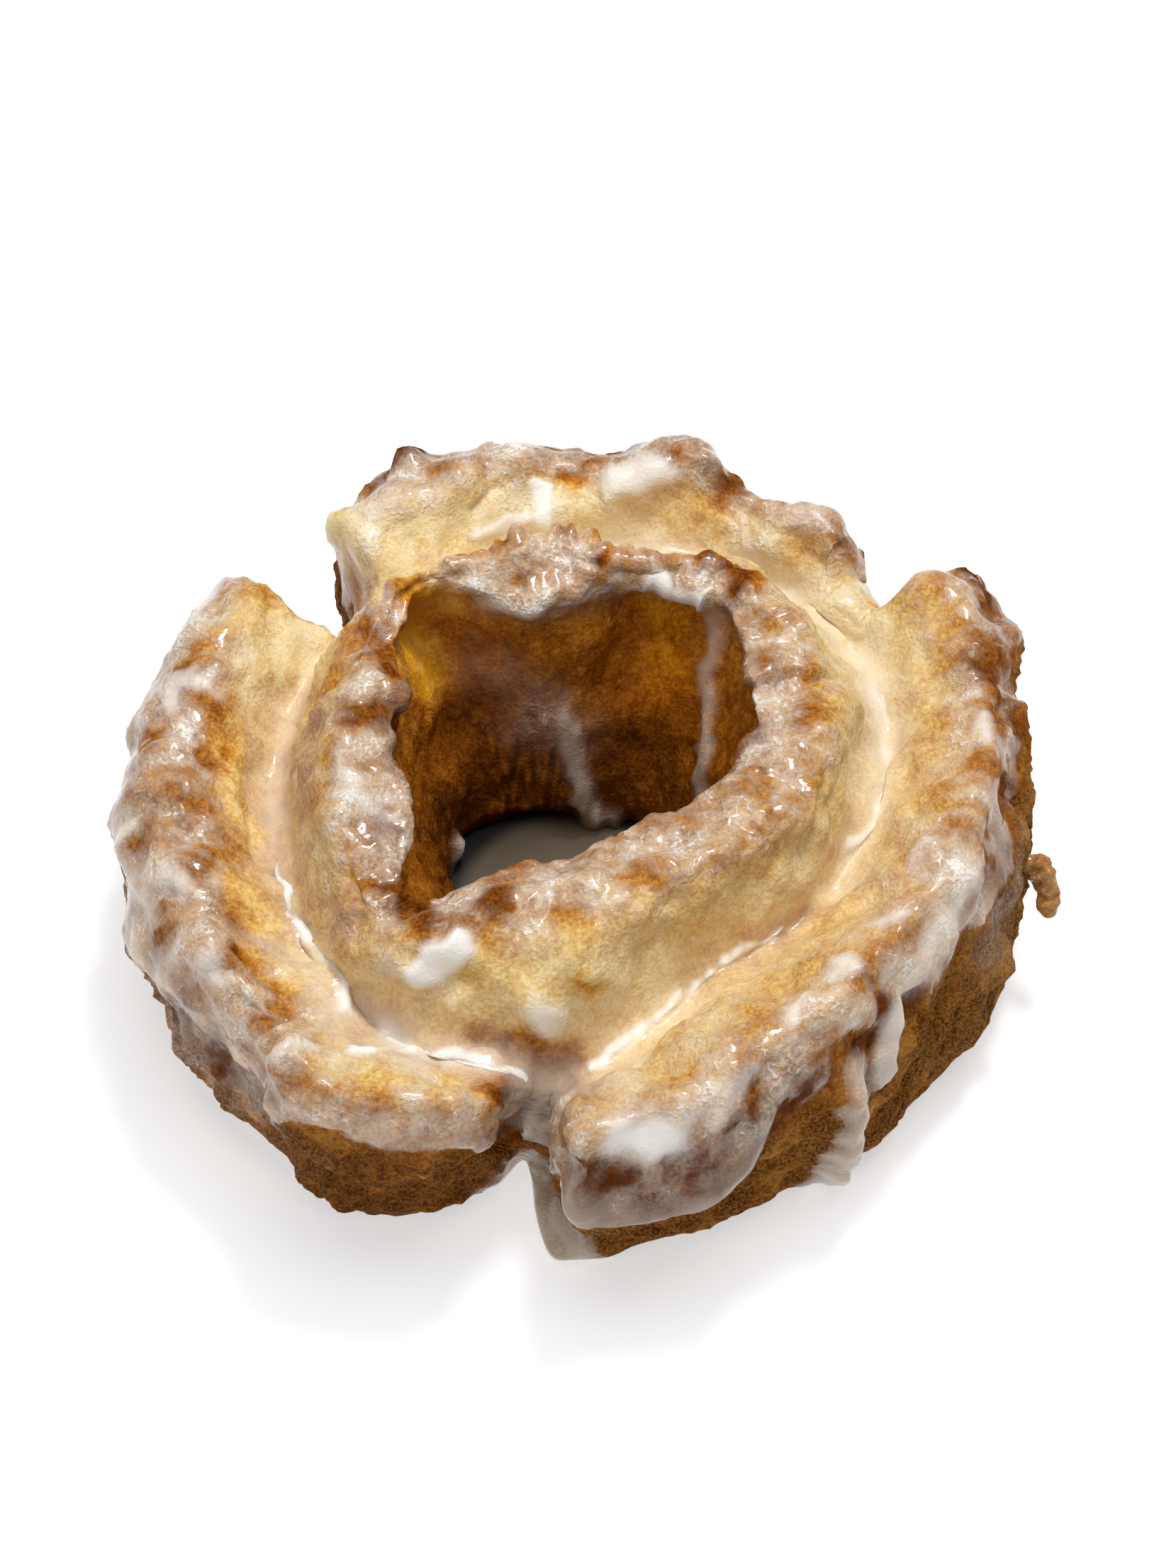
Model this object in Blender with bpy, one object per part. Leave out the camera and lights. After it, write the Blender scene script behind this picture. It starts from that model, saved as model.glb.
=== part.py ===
"""Old-fashioned glazed doughnut: one craggy ring of fried cake batter, whose top has split open all round.

The split leaves a tall collar round the hole and a wreath of petals outside it, with a soft groove
between the two. The ring stands on the floor, with its origin under the middle of its outline.
Lengths in the tables are millimetres, and angles are degrees anticlockwise from +X, seen from above.
"""

from collections import namedtuple

import bpy
import numpy as np

MM = 0.001

# How finely the skin is divided: columns round the ring, and steps from each rail to the next.
COLUMNS = 140
STEPS = (1, 2, 3, 2, 3, 2, 2, 2, 3, 3, 3, 2, 2, 3, 2, 1, 1, 1, 1, 1)

GROOVE_HEIGHT = 18.8
# Where the groove dips towards a gap between petals: middle and half width in degrees, and depth.
GROOVE_DIPS = ((133.5, 8.5, 1.3), (263.5, 8.5, 1.6))
GROOVE_RADII = (28.2, 32.2, 33.4, 32.0, 31.2, 30.2, 28.6, 28.8, 31.0, 28.4, 23.2, 24.2)
HOLE_FOOT_RADII = (11.2, 11.6, 12.2, 11.6, 13.2, 14.6, 12.8, 12.6, 12.2, 10.6, 10.2, 10.6)
HOLE_OVERHANG = 1.1
SOLE_TUCK = 4.0
SOLE_CRACK_RADII = (26.4, 25.8, 27.2, 26.0, 26.9, 25.6, 26.7)
SOLE_CRACK_HALF_WIDTH = 1.9
SOLE_CRACK_DEPTH = 1.6
BELOW_FLOOR = 1.2

# Each row runs from its start to the next row's start, and its sizes are spread evenly over that.
# The first four sizes are radii, from the top of the petal down: crest, brow, belly and foot.
Petal = namedtuple("Petal", "name start blend crest brow belly foot top brow_height")
PETALS = (
    Petal("near right", -92.0, 5.5, (38.4, 34.6, 33.6, 34.8, 38.2), (41.8, 39.4, 37.8, 39.8, 44.2),
          (39.2, 38.0, 39.6, 42.2, 43.0), (38.4, 37.1, 38.5, 41.3, 41.4),
          (24.4, 25.8, 26.2, 26.0, 25.4), (15.0, 17.5, 19.5, 20.0, 21.0)),
    Petal("upper right", 13.5, 3.0, (38.4, 39.8, 41.4, 41.4), (43.4, 46.2, 47.6, 48.0),
          (43.2, 44.2, 44.4, 44.0), (41.2, 41.5, 41.4, 41.0),
          (24.4, 25.6, 25.6, 24.4), (20.5, 21.0, 21.5, 20.5)),
    Petal("right valley", 35.2, 3.0, (35.8,), (40.2,), (41.0,), (39.2,), (20.0,), (16.5,)),
    Petal("knob", 46.2, 3.0, (37.4, 38.4, 37.2, 37.4), (41.6, 43.0, 40.6, 40.2),
          (42.2, 42.4), (40.0,), (24.2, 24.8, 23.8, 23.4), (20.0,)),
    Petal("far peak", 62.5, 3.5, (37.8, 38.2, 39.4, 38.2, 37.6), (40.2, 42.4, 44.6, 43.6, 42.8),
          (42.4, 43.0), (40.0, 40.6), (23.4, 25.6, 26.8, 25.0, 23.8), (20.0, 21.5, 21.5, 20.5)),
    Petal("far", 87.0, 5.0, (37.8, 37.8, 37.2, 36.6), (43.4, 44.6, 44.2, 43.2),
          (43.2, 43.4, 42.6), (40.6, 40.6, 40.2), (24.4, 25.6, 25.0, 23.6), (21.0,)),
    Petal("far left gap", 128.5, 5.0, (31.8,), (34.2,), (34.6,), (33.6,), (14.5,), (9.5,)),
    Petal("left", 141.5, 5.0, (36.9, 37.0, 36.8, 37.0, 37.2, 37.6), (43.6, 42.9, 42.9, 42.8, 41.2, 41.0),
          (41.6, 42.8, 43.0, 42.9, 42.0, 40.4), (39.6, 41.0, 41.2, 41.0, 39.8, 39.2),
          (24.2, 25.6, 25.6, 25.6, 25.4, 24.2), (21.0, 20.5, 20.0)),
    Petal("near left", 230.0, 3.0, (38.8, 39.8, 37.6, 35.2), (42.6, 43.4, 41.0, 37.6),
          (40.8, 40.4, 37.4, 33.2), (39.9, 39.8, 36.2, 31.6),
          (25.6, 25.0, 24.3, 22.4), (20.0, 19.5, 19.0, 17.5)),
    Petal("near gap", 258.5, 4.0, (30.4,), (31.6,), (30.6,), (29.0,), (13.5,), (9.5,)),
)

# The collar's pieces: radii of the lip over the hole and of the crest, the heights of both, and
# how much of its height the outer flank still has halfway out.
Piece = namedtuple("Piece", "name start blend lip crest lip_height top flank")
COLLAR = (
    Piece("ramp", 16.0, 7.0, (16.4, 18.4, 20.4, 22.0), (22.0, 23.6, 25.0, 25.6),
          (26.6, 26.6, 27.0), (28.4, 27.8, 27.8, 28.4), (0.62,)),
    Piece("slab", 58.0, 7.0, (21.4, 20.4, 20.2, 18.2, 16.8, 16.2, 16.3, 18.2, 22.0, 23.4, 21.5),
          (25.4, 21.8, 22.2, 22.8, 23.8, 25.0),
          (27.4, 27.8, 28.0, 27.8), (28.8, 29.2, 30.4, 31.0, 29.6, 29.2), (0.42,)),
    Piece("left", 139.5, 8.0, (21.3, 17.7, 16.8, 16.4, 17.6, 22.4), (25.0, 22.2, 21.6, 22.4, 24.6, 26.6),
          (27.6, 27.6, 27.4), (29.0, 29.8, 29.6, 29.8, 29.2, 28.4), (0.66,)),
    Piece("near", 229.5, 7.0, (21.4, 13.7, 11.4, 10.6, 11.1, 12.6, 14.3, 16.2),
          (26.4, 21.4, 18.6, 17.8, 19.0, 21.0, 21.9, 22.0),
          (26.6, 27.2, 27.6, 27.4), (28.0, 29.4, 30.0, 30.0, 29.6, 28.8), (0.7,)),
)

# Creases and folds: middle, half width and slant in degrees, depth, and the rails they run between.
Crease = namedtuple("Crease", "name angle width slant depth first last")
CREASES = (
    Crease("collar corner", 229.0, 3.4, 3.0, 1.5, 8.6, 12.2),
    Crease("step in the collar", 17.0, 2.6, -3.0, 0.7, 8.8, 11.6),
    Crease("slab right end", 57.0, 3.0, 0.0, 0.6, 8.8, 11.6),
    Crease("slab left end", 138.0, 3.0, 0.0, 0.5, 8.8, 11.6),
    Crease("left petal 1", 158.0, 4.0, 6.0, 0.4, 4.8, 7.6),
    Crease("left petal 2", 175.0, 2.0, 9.0, 0.6, 4.8, 7.4),
    Crease("left petal 3", 193.0, 3.4, 8.0, 0.5, 5.0, 7.8),
    Crease("left petal 4", 209.0, 2.2, 6.0, 0.6, 4.8, 7.4),
    Crease("left petal 5", 227.0, 2.4, 5.0, 0.9, 4.6, 7.8),
    Crease("near right end", -72.0, 3.0, -6.0, 0.7, 4.6, 7.2),
    Crease("near right middle", -47.0, 3.4, -6.0, 0.6, 4.6, 7.2),
    Crease("near right fold", -21.0, 3.0, -6.0, 0.7, 4.6, 7.2),
    Crease("upper right fold", 24.0, 2.4, 4.0, 0.7, 4.6, 7.2),
    Crease("far fold", 104.0, 3.0, 4.0, 0.6, 4.6, 7.2),
)

# Thick glaze set into runs on the side: middle, half width, thickness, and the rails it covers.
Drip = namedtuple("Drip", "name angle width thickness first last")
DRIPS = (
    Drip("short drip", -40.0, 1.8, 1.2, 2.6, 4.2),
    Drip("long drip", -52.5, 1.8, 1.5, 0.7, 4.2),
    Drip("lip of the near petal", -78.0, 9.0, 0.9, 3.0, 4.6),
    Drip("sheet on the right", -14.0, 7.0, 0.4, 1.8, 4.2),
)

# Glaze that has run out of the near gap and set on the floor.
POOL_ANGLE = -90.5
POOL_HALF_WIDTH = 6.8
POOL_RADIUS = 38.6

# Crags: each band of waves has its length, its height and how many waves are mixed.
Waves = namedtuple("Waves", "length height count")
LUMPS = Waves(10.0, 0.42, 14)
CRAGS = Waves(4.6, 0.2, 18)
SEED = 41


def smooth_step(value, low, high):
    """0 below low, 1 above high, and the cubic 3t^2 - 2t^3 between them."""
    t = np.clip((value - low) / (high - low), 0.0, 1.0)
    return t * t * (3.0 - 2.0 * t)


def mix(a, b, share):
    """a, moved by this share of the way to b."""
    return a + (b - a) * share


def turned(angle, centre):
    """The angle in degrees from the centre, brought into -180 to 180."""
    return (angle - centre + 180.0) % 360.0 - 180.0


def curve_through(values, place, closed=True):
    """A Catmull-Rom curve through evenly spaced values along the last axis, read at each place."""
    values = np.asarray(values, float)
    count = values.shape[-1]
    first = np.floor(place).astype(int)
    t = place - first
    steps = (first + i for i in (-1, 0, 1, 2))
    a, b, c, d = (values[..., i % count if closed else np.clip(i, 0, count - 1)] for i in steps)
    return b + 0.5 * t * (c - a + t * (2 * a - 5 * b + 4 * c - d + t * (3 * (b - c) + d - a)))


def round_ring(values, angle):
    """A closed curve through values spread evenly round the ring from 0 degrees."""
    return curve_through(values, (angle % 360.0) / 360.0 * len(values))


def along(rows, column, angle):
    """One size from a table: a curve through each row's sizes, faded into the next row's."""
    total = 0.0
    for row, after in zip(rows, rows[1:] + rows[:1]):
        sizes = getattr(row, column)
        half = 0.5 * ((after.start - row.start) % 360.0)
        off = turned(angle, row.start + half)
        begun = smooth_step(off, -half - row.blend / 2, -half + row.blend / 2)
        ended = smooth_step(off, half - after.blend / 2, half + after.blend / 2)
        place = np.clip((off + half) / (2 * half), 0.0, 1.0) * (len(sizes) - 1)
        total = total + curve_through(sizes, place, closed=False) * (begun - ended)
    return total


def rails(angle):
    """Radius and height of the twenty rails that the skin is stretched over, one column per rail.

    They climb the side (foot, belly, brow), cross the petal's crest, the groove and the collar's
    crest, go down the hole's wall and run back under the sole, over its ring crack.
    """
    crest, brow, belly, foot, top, brow_height = (
        along(PETALS, name, angle) for name in ("crest", "brow", "belly", "foot", "top", "brow_height")
    )
    lip, inner, lip_height, collar_top, flank = (
        along(COLLAR, name, angle) for name in ("lip", "crest", "lip_height", "top", "flank")
    )
    groove = round_ring(GROOVE_RADII, angle)
    hole = round_ring(HOLE_FOOT_RADII, angle)
    crack = round_ring(SOLE_CRACK_RADII, angle)
    groove_height = GROOVE_HEIGHT - sum(
        depth * np.exp(-((turned(angle, middle) / half) ** 2)) for middle, half, depth in GROOVE_DIPS
    )
    pool = np.exp(-((turned(angle, POOL_ANGLE) / POOL_HALF_WIDTH) ** 4))
    foot = mix(foot, POOL_RADIUS, pool)
    level = np.zeros_like(angle)
    pairs = (
        (foot - SOLE_TUCK, level - BELOW_FLOOR),
        (foot, level + mix(1.8, 0.9, pool)),
        (belly, 0.45 * brow_height),
        (mix(belly, brow, 0.72), 0.82 * brow_height),
        (brow, brow_height),
        (mix(brow, crest, 0.42), mix(brow_height, top, 0.76)),
        (crest, top),
        (mix(crest, groove, 0.5), mix(top, groove_height, 0.42)),
        (groove, groove_height),
        (mix(groove, inner, 0.5), mix(groove_height, collar_top, flank)),
        (inner, collar_top),
        (mix(inner, lip, 0.6), mix(collar_top, lip_height, 0.35) + 0.2),
        (lip, lip_height),
        (lip + HOLE_OVERHANG, lip_height - 4.0),
        (mix(lip, hole, 0.5), 0.48 * lip_height),
        (hole, level + 2.2),
        (hole + SOLE_TUCK, level - BELOW_FLOOR),
        (crack - SOLE_CRACK_HALF_WIDTH, level - BELOW_FLOOR),
        (crack, level + SOLE_CRACK_DEPTH),
        (crack + SOLE_CRACK_HALF_WIDTH, level - BELOW_FLOOR),
    )
    return (np.stack(column, -1) for column in zip(*pairs))


def skin(angle, place):
    """Points of the smooth skin: at each angle, a closed curve over the rails, turned to that angle."""
    radius, height = (curve_through(rail, place) for rail in rails(angle))
    turn = np.radians(angle)[:, None]
    return np.stack([radius * np.cos(turn), radius * np.sin(turn), height], -1)


def normals_of(points):
    """Outward unit normals of a grid that closes both ways, from the steps to its neighbours."""
    around = np.roll(points, -1, 0) - np.roll(points, 1, 0)
    across = np.roll(points, -1, 1) - np.roll(points, 1, 1)
    normal = np.cross(around, across)
    return normal / np.maximum(np.linalg.norm(normal, axis=-1, keepdims=True), 1e-9)


def waves(points, band, random):
    """A band of relief: the mean of sine waves of about one length that run in random directions."""
    total = 0.0
    for _ in range(band.count):
        way = random.normal(size=3)
        way *= 2 * np.pi / (band.length * random.uniform(0.75, 1.3)) / np.linalg.norm(way)
        total = total + np.sin(points @ way + random.uniform(0, 2 * np.pi))
    return band.height * total / np.sqrt(band.count / 2)


def rows_between(place, first, last, fade):
    """1 on the rails from first to last, fading to 0 just inside both."""
    return smooth_step(place, first, first + fade) * (1.0 - smooth_step(place, last - fade, last))


def relief(angle, place, points):
    """How far the skin stands proud of its rails: crags, less the creases, plus the thick drips."""
    random = np.random.default_rng(SEED)
    degrees = angle[:, None]
    on_top = rows_between(place, 3.0, 13.5, 1.5)
    above_sole = rows_between(place, 0.8, 15.4, 0.8)
    rise = waves(points, LUMPS, random) * above_sole
    rise = rise + waves(points, CRAGS, random) * mix(0.35, 1.0, on_top) * above_sole
    for crease in CREASES:
        middle = 0.5 * (crease.first + crease.last)
        off = turned(degrees - crease.slant * (place - middle), crease.angle) / crease.width
        rise = rise - crease.depth * np.exp(-(off**2)) * rows_between(place, crease.first, crease.last, 0.8)
    for drip in DRIPS:
        off = turned(degrees, drip.angle) / drip.width
        rise = rise + drip.thickness * np.exp(-(off**4)) * rows_between(place, drip.first, drip.last, 0.6)
    return rise


def columns_round():
    """The columns' angles, closer together where a petal ends."""
    fine = np.linspace(0.0, 360.0, 3601)
    density = np.ones_like(fine)
    for row in PETALS:
        density += 1.3 * np.exp(-((turned(fine, row.start) / 4.0) ** 2))
    total = np.concatenate([[0.0], np.cumsum(0.5 * (density[1:] + density[:-1]))])
    return np.interp(np.arange(COLUMNS) / COLUMNS * total[-1], total, fine)


def places_across():
    """Where the rows lie on the way over the rails: whole numbers are the rails themselves."""
    return np.concatenate([rail + np.arange(count) / count for rail, count in enumerate(STEPS)])


def ring_mesh(name, points):
    """A closed mesh of four-sided faces over a grid of points that closes both ways."""
    columns, rows = points.shape[:2]
    column, row = np.meshgrid(np.arange(columns), np.arange(rows), indexing="ij")
    next_column, next_row = (column + 1) % columns, (row + 1) % rows
    corners = [(column, row), (next_column, row), (next_column, next_row), (column, next_row)]
    faces = np.stack([c * rows + r for c, r in corners], -1).reshape(-1, 4)
    mesh = bpy.data.meshes.new(name)
    mesh.from_pydata((points.reshape(-1, 3) * MM).tolist(), [], faces.tolist())
    mesh.validate()
    mesh.shade_smooth()
    return mesh


def fried_cake():
    """The finish of the browned, glazed batter."""
    material = bpy.data.materials.new("fried cake")
    material.use_nodes = True
    shader = material.node_tree.nodes["Principled BSDF"]
    shader.inputs["Base Color"].default_value = (0.46, 0.25, 0.10, 1.0)
    shader.inputs["Roughness"].default_value = 0.42
    shader.inputs["Metallic"].default_value = 0.0
    material.diffuse_color = (0.46, 0.25, 0.10, 1.0)
    return material


def doughnut():
    """The whole ring as one object, standing on the floor with its outline centred on the origin."""
    angle, place = columns_round(), places_across()
    points = skin(angle, place)
    points = points + normals_of(points) * relief(angle, place, points)[..., None]
    points[..., 2] = np.maximum(points[..., 2], 0.0)
    low, high = points.min(axis=(0, 1)), points.max(axis=(0, 1))
    points[..., :2] -= 0.5 * (low + high)[:2]
    thing = bpy.data.objects.new("doughnut", ring_mesh("doughnut", points))
    thing.data.materials.append(fried_cake())
    bpy.context.scene.collection.objects.link(thing)
    return thing


def main():
    for thing in list(bpy.data.objects):
        bpy.data.objects.remove(thing, do_unlink=True)
    doughnut()


main()
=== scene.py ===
"""Old-fashioned glazed doughnut: fried crust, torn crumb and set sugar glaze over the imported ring.

The ring is one skin stretched over the same twenty rails as the solid, on a grid fine enough for crags,
torn edges and runs of glaze. A place on it is an angle in degrees anticlockwise from +X, seen from above,
and a rail number: 1 foot, 2 belly, 4 brow, 6 crest of a petal, 8 groove, 10 crest of the collar, 12 lip
of the hole, 14 middle of its wall, 15 foot of its wall, and 16 to 20 the sole.
Lengths are millimetres, and become metres only where a mesh is made.
"""

from collections import namedtuple

import bmesh
import bpy
import numpy as np
from mathutils import Matrix, Vector


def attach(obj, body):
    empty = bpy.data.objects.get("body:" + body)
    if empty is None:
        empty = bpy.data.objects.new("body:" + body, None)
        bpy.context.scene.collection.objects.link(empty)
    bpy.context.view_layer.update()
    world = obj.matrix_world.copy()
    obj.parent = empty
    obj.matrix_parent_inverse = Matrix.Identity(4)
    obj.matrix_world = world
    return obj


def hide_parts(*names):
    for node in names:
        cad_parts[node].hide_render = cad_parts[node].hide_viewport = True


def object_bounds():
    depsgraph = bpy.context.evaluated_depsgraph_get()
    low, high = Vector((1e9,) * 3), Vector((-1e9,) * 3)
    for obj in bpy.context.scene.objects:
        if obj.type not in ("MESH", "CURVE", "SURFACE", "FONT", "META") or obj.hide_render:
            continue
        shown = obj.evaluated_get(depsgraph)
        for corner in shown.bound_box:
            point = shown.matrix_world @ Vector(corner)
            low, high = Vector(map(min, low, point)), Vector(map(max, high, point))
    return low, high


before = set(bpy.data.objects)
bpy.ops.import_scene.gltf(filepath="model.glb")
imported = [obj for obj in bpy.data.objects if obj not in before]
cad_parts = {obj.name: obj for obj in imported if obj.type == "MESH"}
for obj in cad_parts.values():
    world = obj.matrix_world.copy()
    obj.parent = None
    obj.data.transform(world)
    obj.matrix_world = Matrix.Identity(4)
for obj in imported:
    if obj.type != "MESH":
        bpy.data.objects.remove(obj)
cad_low, cad_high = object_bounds()

MM = 0.001
SEED = 41

# ---------------------------------------------------------------- the ring's rails, as in the solid

GROOVE_HEIGHT = 18.8
GROOVE_DIPS = ((133.5, 8.5, 1.3), (263.5, 8.5, 1.6))
GROOVE_RADII = (28.2, 32.2, 33.4, 32.0, 31.2, 30.2, 28.6, 28.8, 31.0, 28.4, 23.2, 24.2)
HOLE_FOOT_RADII = (11.2, 11.6, 12.2, 11.6, 13.2, 14.6, 12.8, 12.6, 12.2, 10.6, 10.2, 10.6)
HOLE_OVERHANG = 1.1
SOLE_TUCK = 4.0
SOLE_CRACK_RADII = (26.4, 25.8, 27.2, 26.0, 26.9, 25.6, 26.7)
SOLE_CRACK_HALF_WIDTH = 1.9
SOLE_CRACK_DEPTH = 1.6
BELOW_FLOOR = 1.2

# Each row runs from its start to the next row's start, and its sizes are spread evenly over that.
Petal = namedtuple("Petal", "name start blend crest brow belly foot top brow_height")
PETALS = (
    Petal("near right", -92.0, 5.5, (38.4, 34.6, 33.6, 34.8, 38.2), (41.8, 39.4, 37.8, 39.8, 44.2),
          (39.2, 38.0, 39.6, 42.2, 43.0), (38.4, 37.1, 38.5, 41.3, 41.4),
          (24.4, 25.8, 26.2, 26.0, 25.4), (15.0, 17.5, 19.5, 20.0, 21.0)),
    Petal("upper right", 13.5, 3.0, (38.4, 39.8, 41.4, 41.4), (43.4, 46.2, 47.6, 48.0),
          (43.2, 44.2, 44.4, 44.0), (41.2, 41.5, 41.4, 41.0),
          (24.4, 25.6, 25.6, 24.4), (20.5, 21.0, 21.5, 20.5)),
    Petal("right valley", 35.2, 3.0, (35.8,), (40.2,), (41.0,), (39.2,), (20.0,), (16.5,)),
    Petal("knob", 46.2, 3.0, (37.4, 38.4, 37.2, 37.4), (41.6, 43.0, 40.6, 40.2),
          (42.2, 42.4), (40.0,), (24.2, 24.8, 23.8, 23.4), (20.0,)),
    Petal("far peak", 62.5, 3.5, (37.8, 38.2, 39.4, 38.2, 37.6), (40.2, 42.4, 44.6, 43.6, 42.8),
          (42.4, 43.0), (40.0, 40.6), (23.4, 25.6, 26.8, 25.0, 23.8), (20.0, 21.5, 21.5, 20.5)),
    Petal("far", 87.0, 5.0, (37.8, 37.8, 37.2, 36.6), (43.4, 44.6, 44.2, 43.2),
          (43.2, 43.4, 42.6), (40.6, 40.6, 40.2), (24.4, 25.6, 25.0, 23.6), (21.0,)),
    Petal("far left gap", 128.5, 5.0, (31.8,), (34.2,), (34.6,), (33.6,), (14.5,), (9.5,)),
    Petal("left", 141.5, 5.0, (36.9, 37.0, 36.8, 37.0, 37.2, 37.6), (43.6, 42.9, 42.9, 42.8, 41.2, 41.0),
          (41.6, 42.8, 43.0, 42.9, 42.0, 40.4), (39.6, 41.0, 41.2, 41.0, 39.8, 39.2),
          (24.2, 25.6, 25.6, 25.6, 25.4, 24.2), (21.0, 20.5, 20.0)),
    Petal("near left", 230.0, 3.0, (38.8, 39.8, 37.6, 35.2), (42.6, 43.4, 41.0, 37.6),
          (40.8, 40.4, 37.4, 33.2), (39.9, 39.8, 36.2, 31.6),
          (25.6, 25.0, 24.3, 22.4), (20.0, 19.5, 19.0, 17.5)),
    Petal("near gap", 258.5, 4.0, (30.4,), (31.6,), (30.6,), (29.0,), (13.5,), (9.5,)),
)

Piece = namedtuple("Piece", "name start blend lip crest lip_height top flank")
COLLAR = (
    Piece("ramp", 16.0, 7.0, (16.4, 18.4, 20.4, 22.0), (22.0, 23.6, 25.0, 25.6),
          (26.6, 26.6, 27.0), (28.4, 27.8, 27.8, 28.4), (0.62,)),
    Piece("slab", 58.0, 7.0, (21.4, 20.4, 20.2, 18.2, 16.8, 16.2, 16.3, 18.2, 22.0, 23.4, 21.5),
          (25.4, 21.8, 22.2, 22.8, 23.8, 25.0),
          (27.4, 27.8, 28.0, 27.8), (28.8, 29.2, 30.4, 31.0, 29.6, 29.2), (0.42,)),
    Piece("left", 139.5, 8.0, (21.3, 17.7, 16.8, 16.4, 17.6, 22.4), (25.0, 22.2, 21.6, 22.4, 24.6, 26.6),
          (27.6, 27.6, 27.4), (29.0, 29.8, 29.6, 29.8, 29.2, 28.4), (0.66,)),
    Piece("near", 229.5, 7.0, (21.4, 13.7, 11.4, 10.6, 11.1, 12.6, 14.3, 16.2),
          (26.4, 21.4, 18.6, 17.8, 19.0, 21.0, 21.9, 22.0),
          (26.6, 27.2, 27.6, 27.4), (28.0, 29.4, 30.0, 30.0, 29.6, 28.8), (0.7,)),
)

Crease = namedtuple("Crease", "name angle width slant depth first last")
CREASES = (
    Crease("collar corner", 229.0, 3.4, 3.0, 1.5, 8.6, 12.2),
    Crease("step in the collar", 17.0, 2.6, -3.0, 0.7, 8.8, 11.6),
    Crease("slab right end", 57.0, 3.0, 0.0, 0.6, 8.8, 11.6),
    Crease("slab left end", 138.0, 3.0, 0.0, 0.5, 8.8, 11.6),
    Crease("left petal 1", 158.0, 4.0, 6.0, 0.4, 4.8, 7.6),
    Crease("left petal 2", 175.0, 2.0, 9.0, 0.6, 4.8, 7.4),
    Crease("left petal 3", 193.0, 3.4, 8.0, 0.5, 5.0, 7.8),
    Crease("left petal 4", 209.0, 2.2, 6.0, 0.6, 4.8, 7.4),
    Crease("left petal 5", 227.0, 2.4, 5.0, 0.9, 4.6, 7.8),
    Crease("near right end", -72.0, 3.0, -6.0, 0.7, 4.6, 7.2),
    Crease("near right middle", -47.0, 3.4, -6.0, 0.6, 4.6, 7.2),
    Crease("near right fold", -21.0, 3.0, -6.0, 0.7, 4.6, 7.2),
    Crease("upper right fold", 24.0, 2.4, 4.0, 0.7, 4.6, 7.2),
    Crease("far fold", 104.0, 3.0, 4.0, 0.6, 4.6, 7.2),
)

Drip = namedtuple("Drip", "name angle width thickness first last")
DRIPS = (
    Drip("short drip", -40.0, 1.8, 1.2, 2.6, 4.2),
    Drip("long drip", -52.5, 1.8, 1.5, 0.7, 4.2),
    Drip("lip of the near petal", -78.0, 9.0, 0.9, 3.0, 4.6),
    Drip("sheet on the right", -14.0, 7.0, 0.4, 1.8, 4.2),
)

POOL_ANGLE = -90.5
POOL_HALF_WIDTH = 6.8
POOL_RADIUS = 38.6

Waves = namedtuple("Waves", "length height count")
LUMPS = Waves(10.0, 0.42, 14)
CRAGS = Waves(4.6, 0.2, 18)

# How finely the skin is divided: columns round it, and steps from each rail to the next. The first
# pair is the solid's, which tells where its outline's middle is, and the second is the dressed ring's.
SOLID_GRID = (140, (1, 2, 3, 2, 3, 2, 2, 2, 3, 3, 3, 2, 2, 3, 2, 1, 1, 1, 1, 1))
FINE_GRID = (540, (5, 18, 16, 9, 8, 8, 12, 11, 15, 15, 9, 7, 8, 15, 14, 4, 4, 2, 2, 3))


def smooth_step(value, low, high):
    """0 below low, 1 above high, and the cubic 3t^2 - 2t^3 between them."""
    t = np.clip((value - low) / (high - low), 0.0, 1.0)
    return t * t * (3.0 - 2.0 * t)


def mix(a, b, share):
    """a, moved by this share of the way to b."""
    return a + (b - a) * share


def turned(angle, centre):
    """The angle in degrees from the centre, brought into -180 to 180."""
    return (angle - centre + 180.0) % 360.0 - 180.0


def curve_through(values, place, closed=True):
    """A Catmull-Rom curve through evenly spaced values along the last axis, read at each place."""
    values = np.asarray(values, float)
    count = values.shape[-1]
    first = np.floor(place).astype(int)
    t = place - first
    steps = (first + i for i in (-1, 0, 1, 2))
    a, b, c, d = (values[..., i % count if closed else np.clip(i, 0, count - 1)] for i in steps)
    return b + 0.5 * t * (c - a + t * (2 * a - 5 * b + 4 * c - d + t * (3 * (b - c) + d - a)))


def round_ring(values, angle):
    """A closed curve through values spread evenly round the ring from 0 degrees."""
    return curve_through(values, (angle % 360.0) / 360.0 * len(values))


def along(rows, column, angle):
    """One size from a table: a curve through each row's sizes, faded into the next row's."""
    total = 0.0
    for row, after in zip(rows, rows[1:] + rows[:1]):
        sizes = getattr(row, column)
        half = 0.5 * ((after.start - row.start) % 360.0)
        off = turned(angle, row.start + half)
        begun = smooth_step(off, -half - row.blend / 2, -half + row.blend / 2)
        ended = smooth_step(off, half - after.blend / 2, half + after.blend / 2)
        place = np.clip((off + half) / (2 * half), 0.0, 1.0) * (len(sizes) - 1)
        total = total + curve_through(sizes, place, closed=False) * (begun - ended)
    return total


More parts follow.
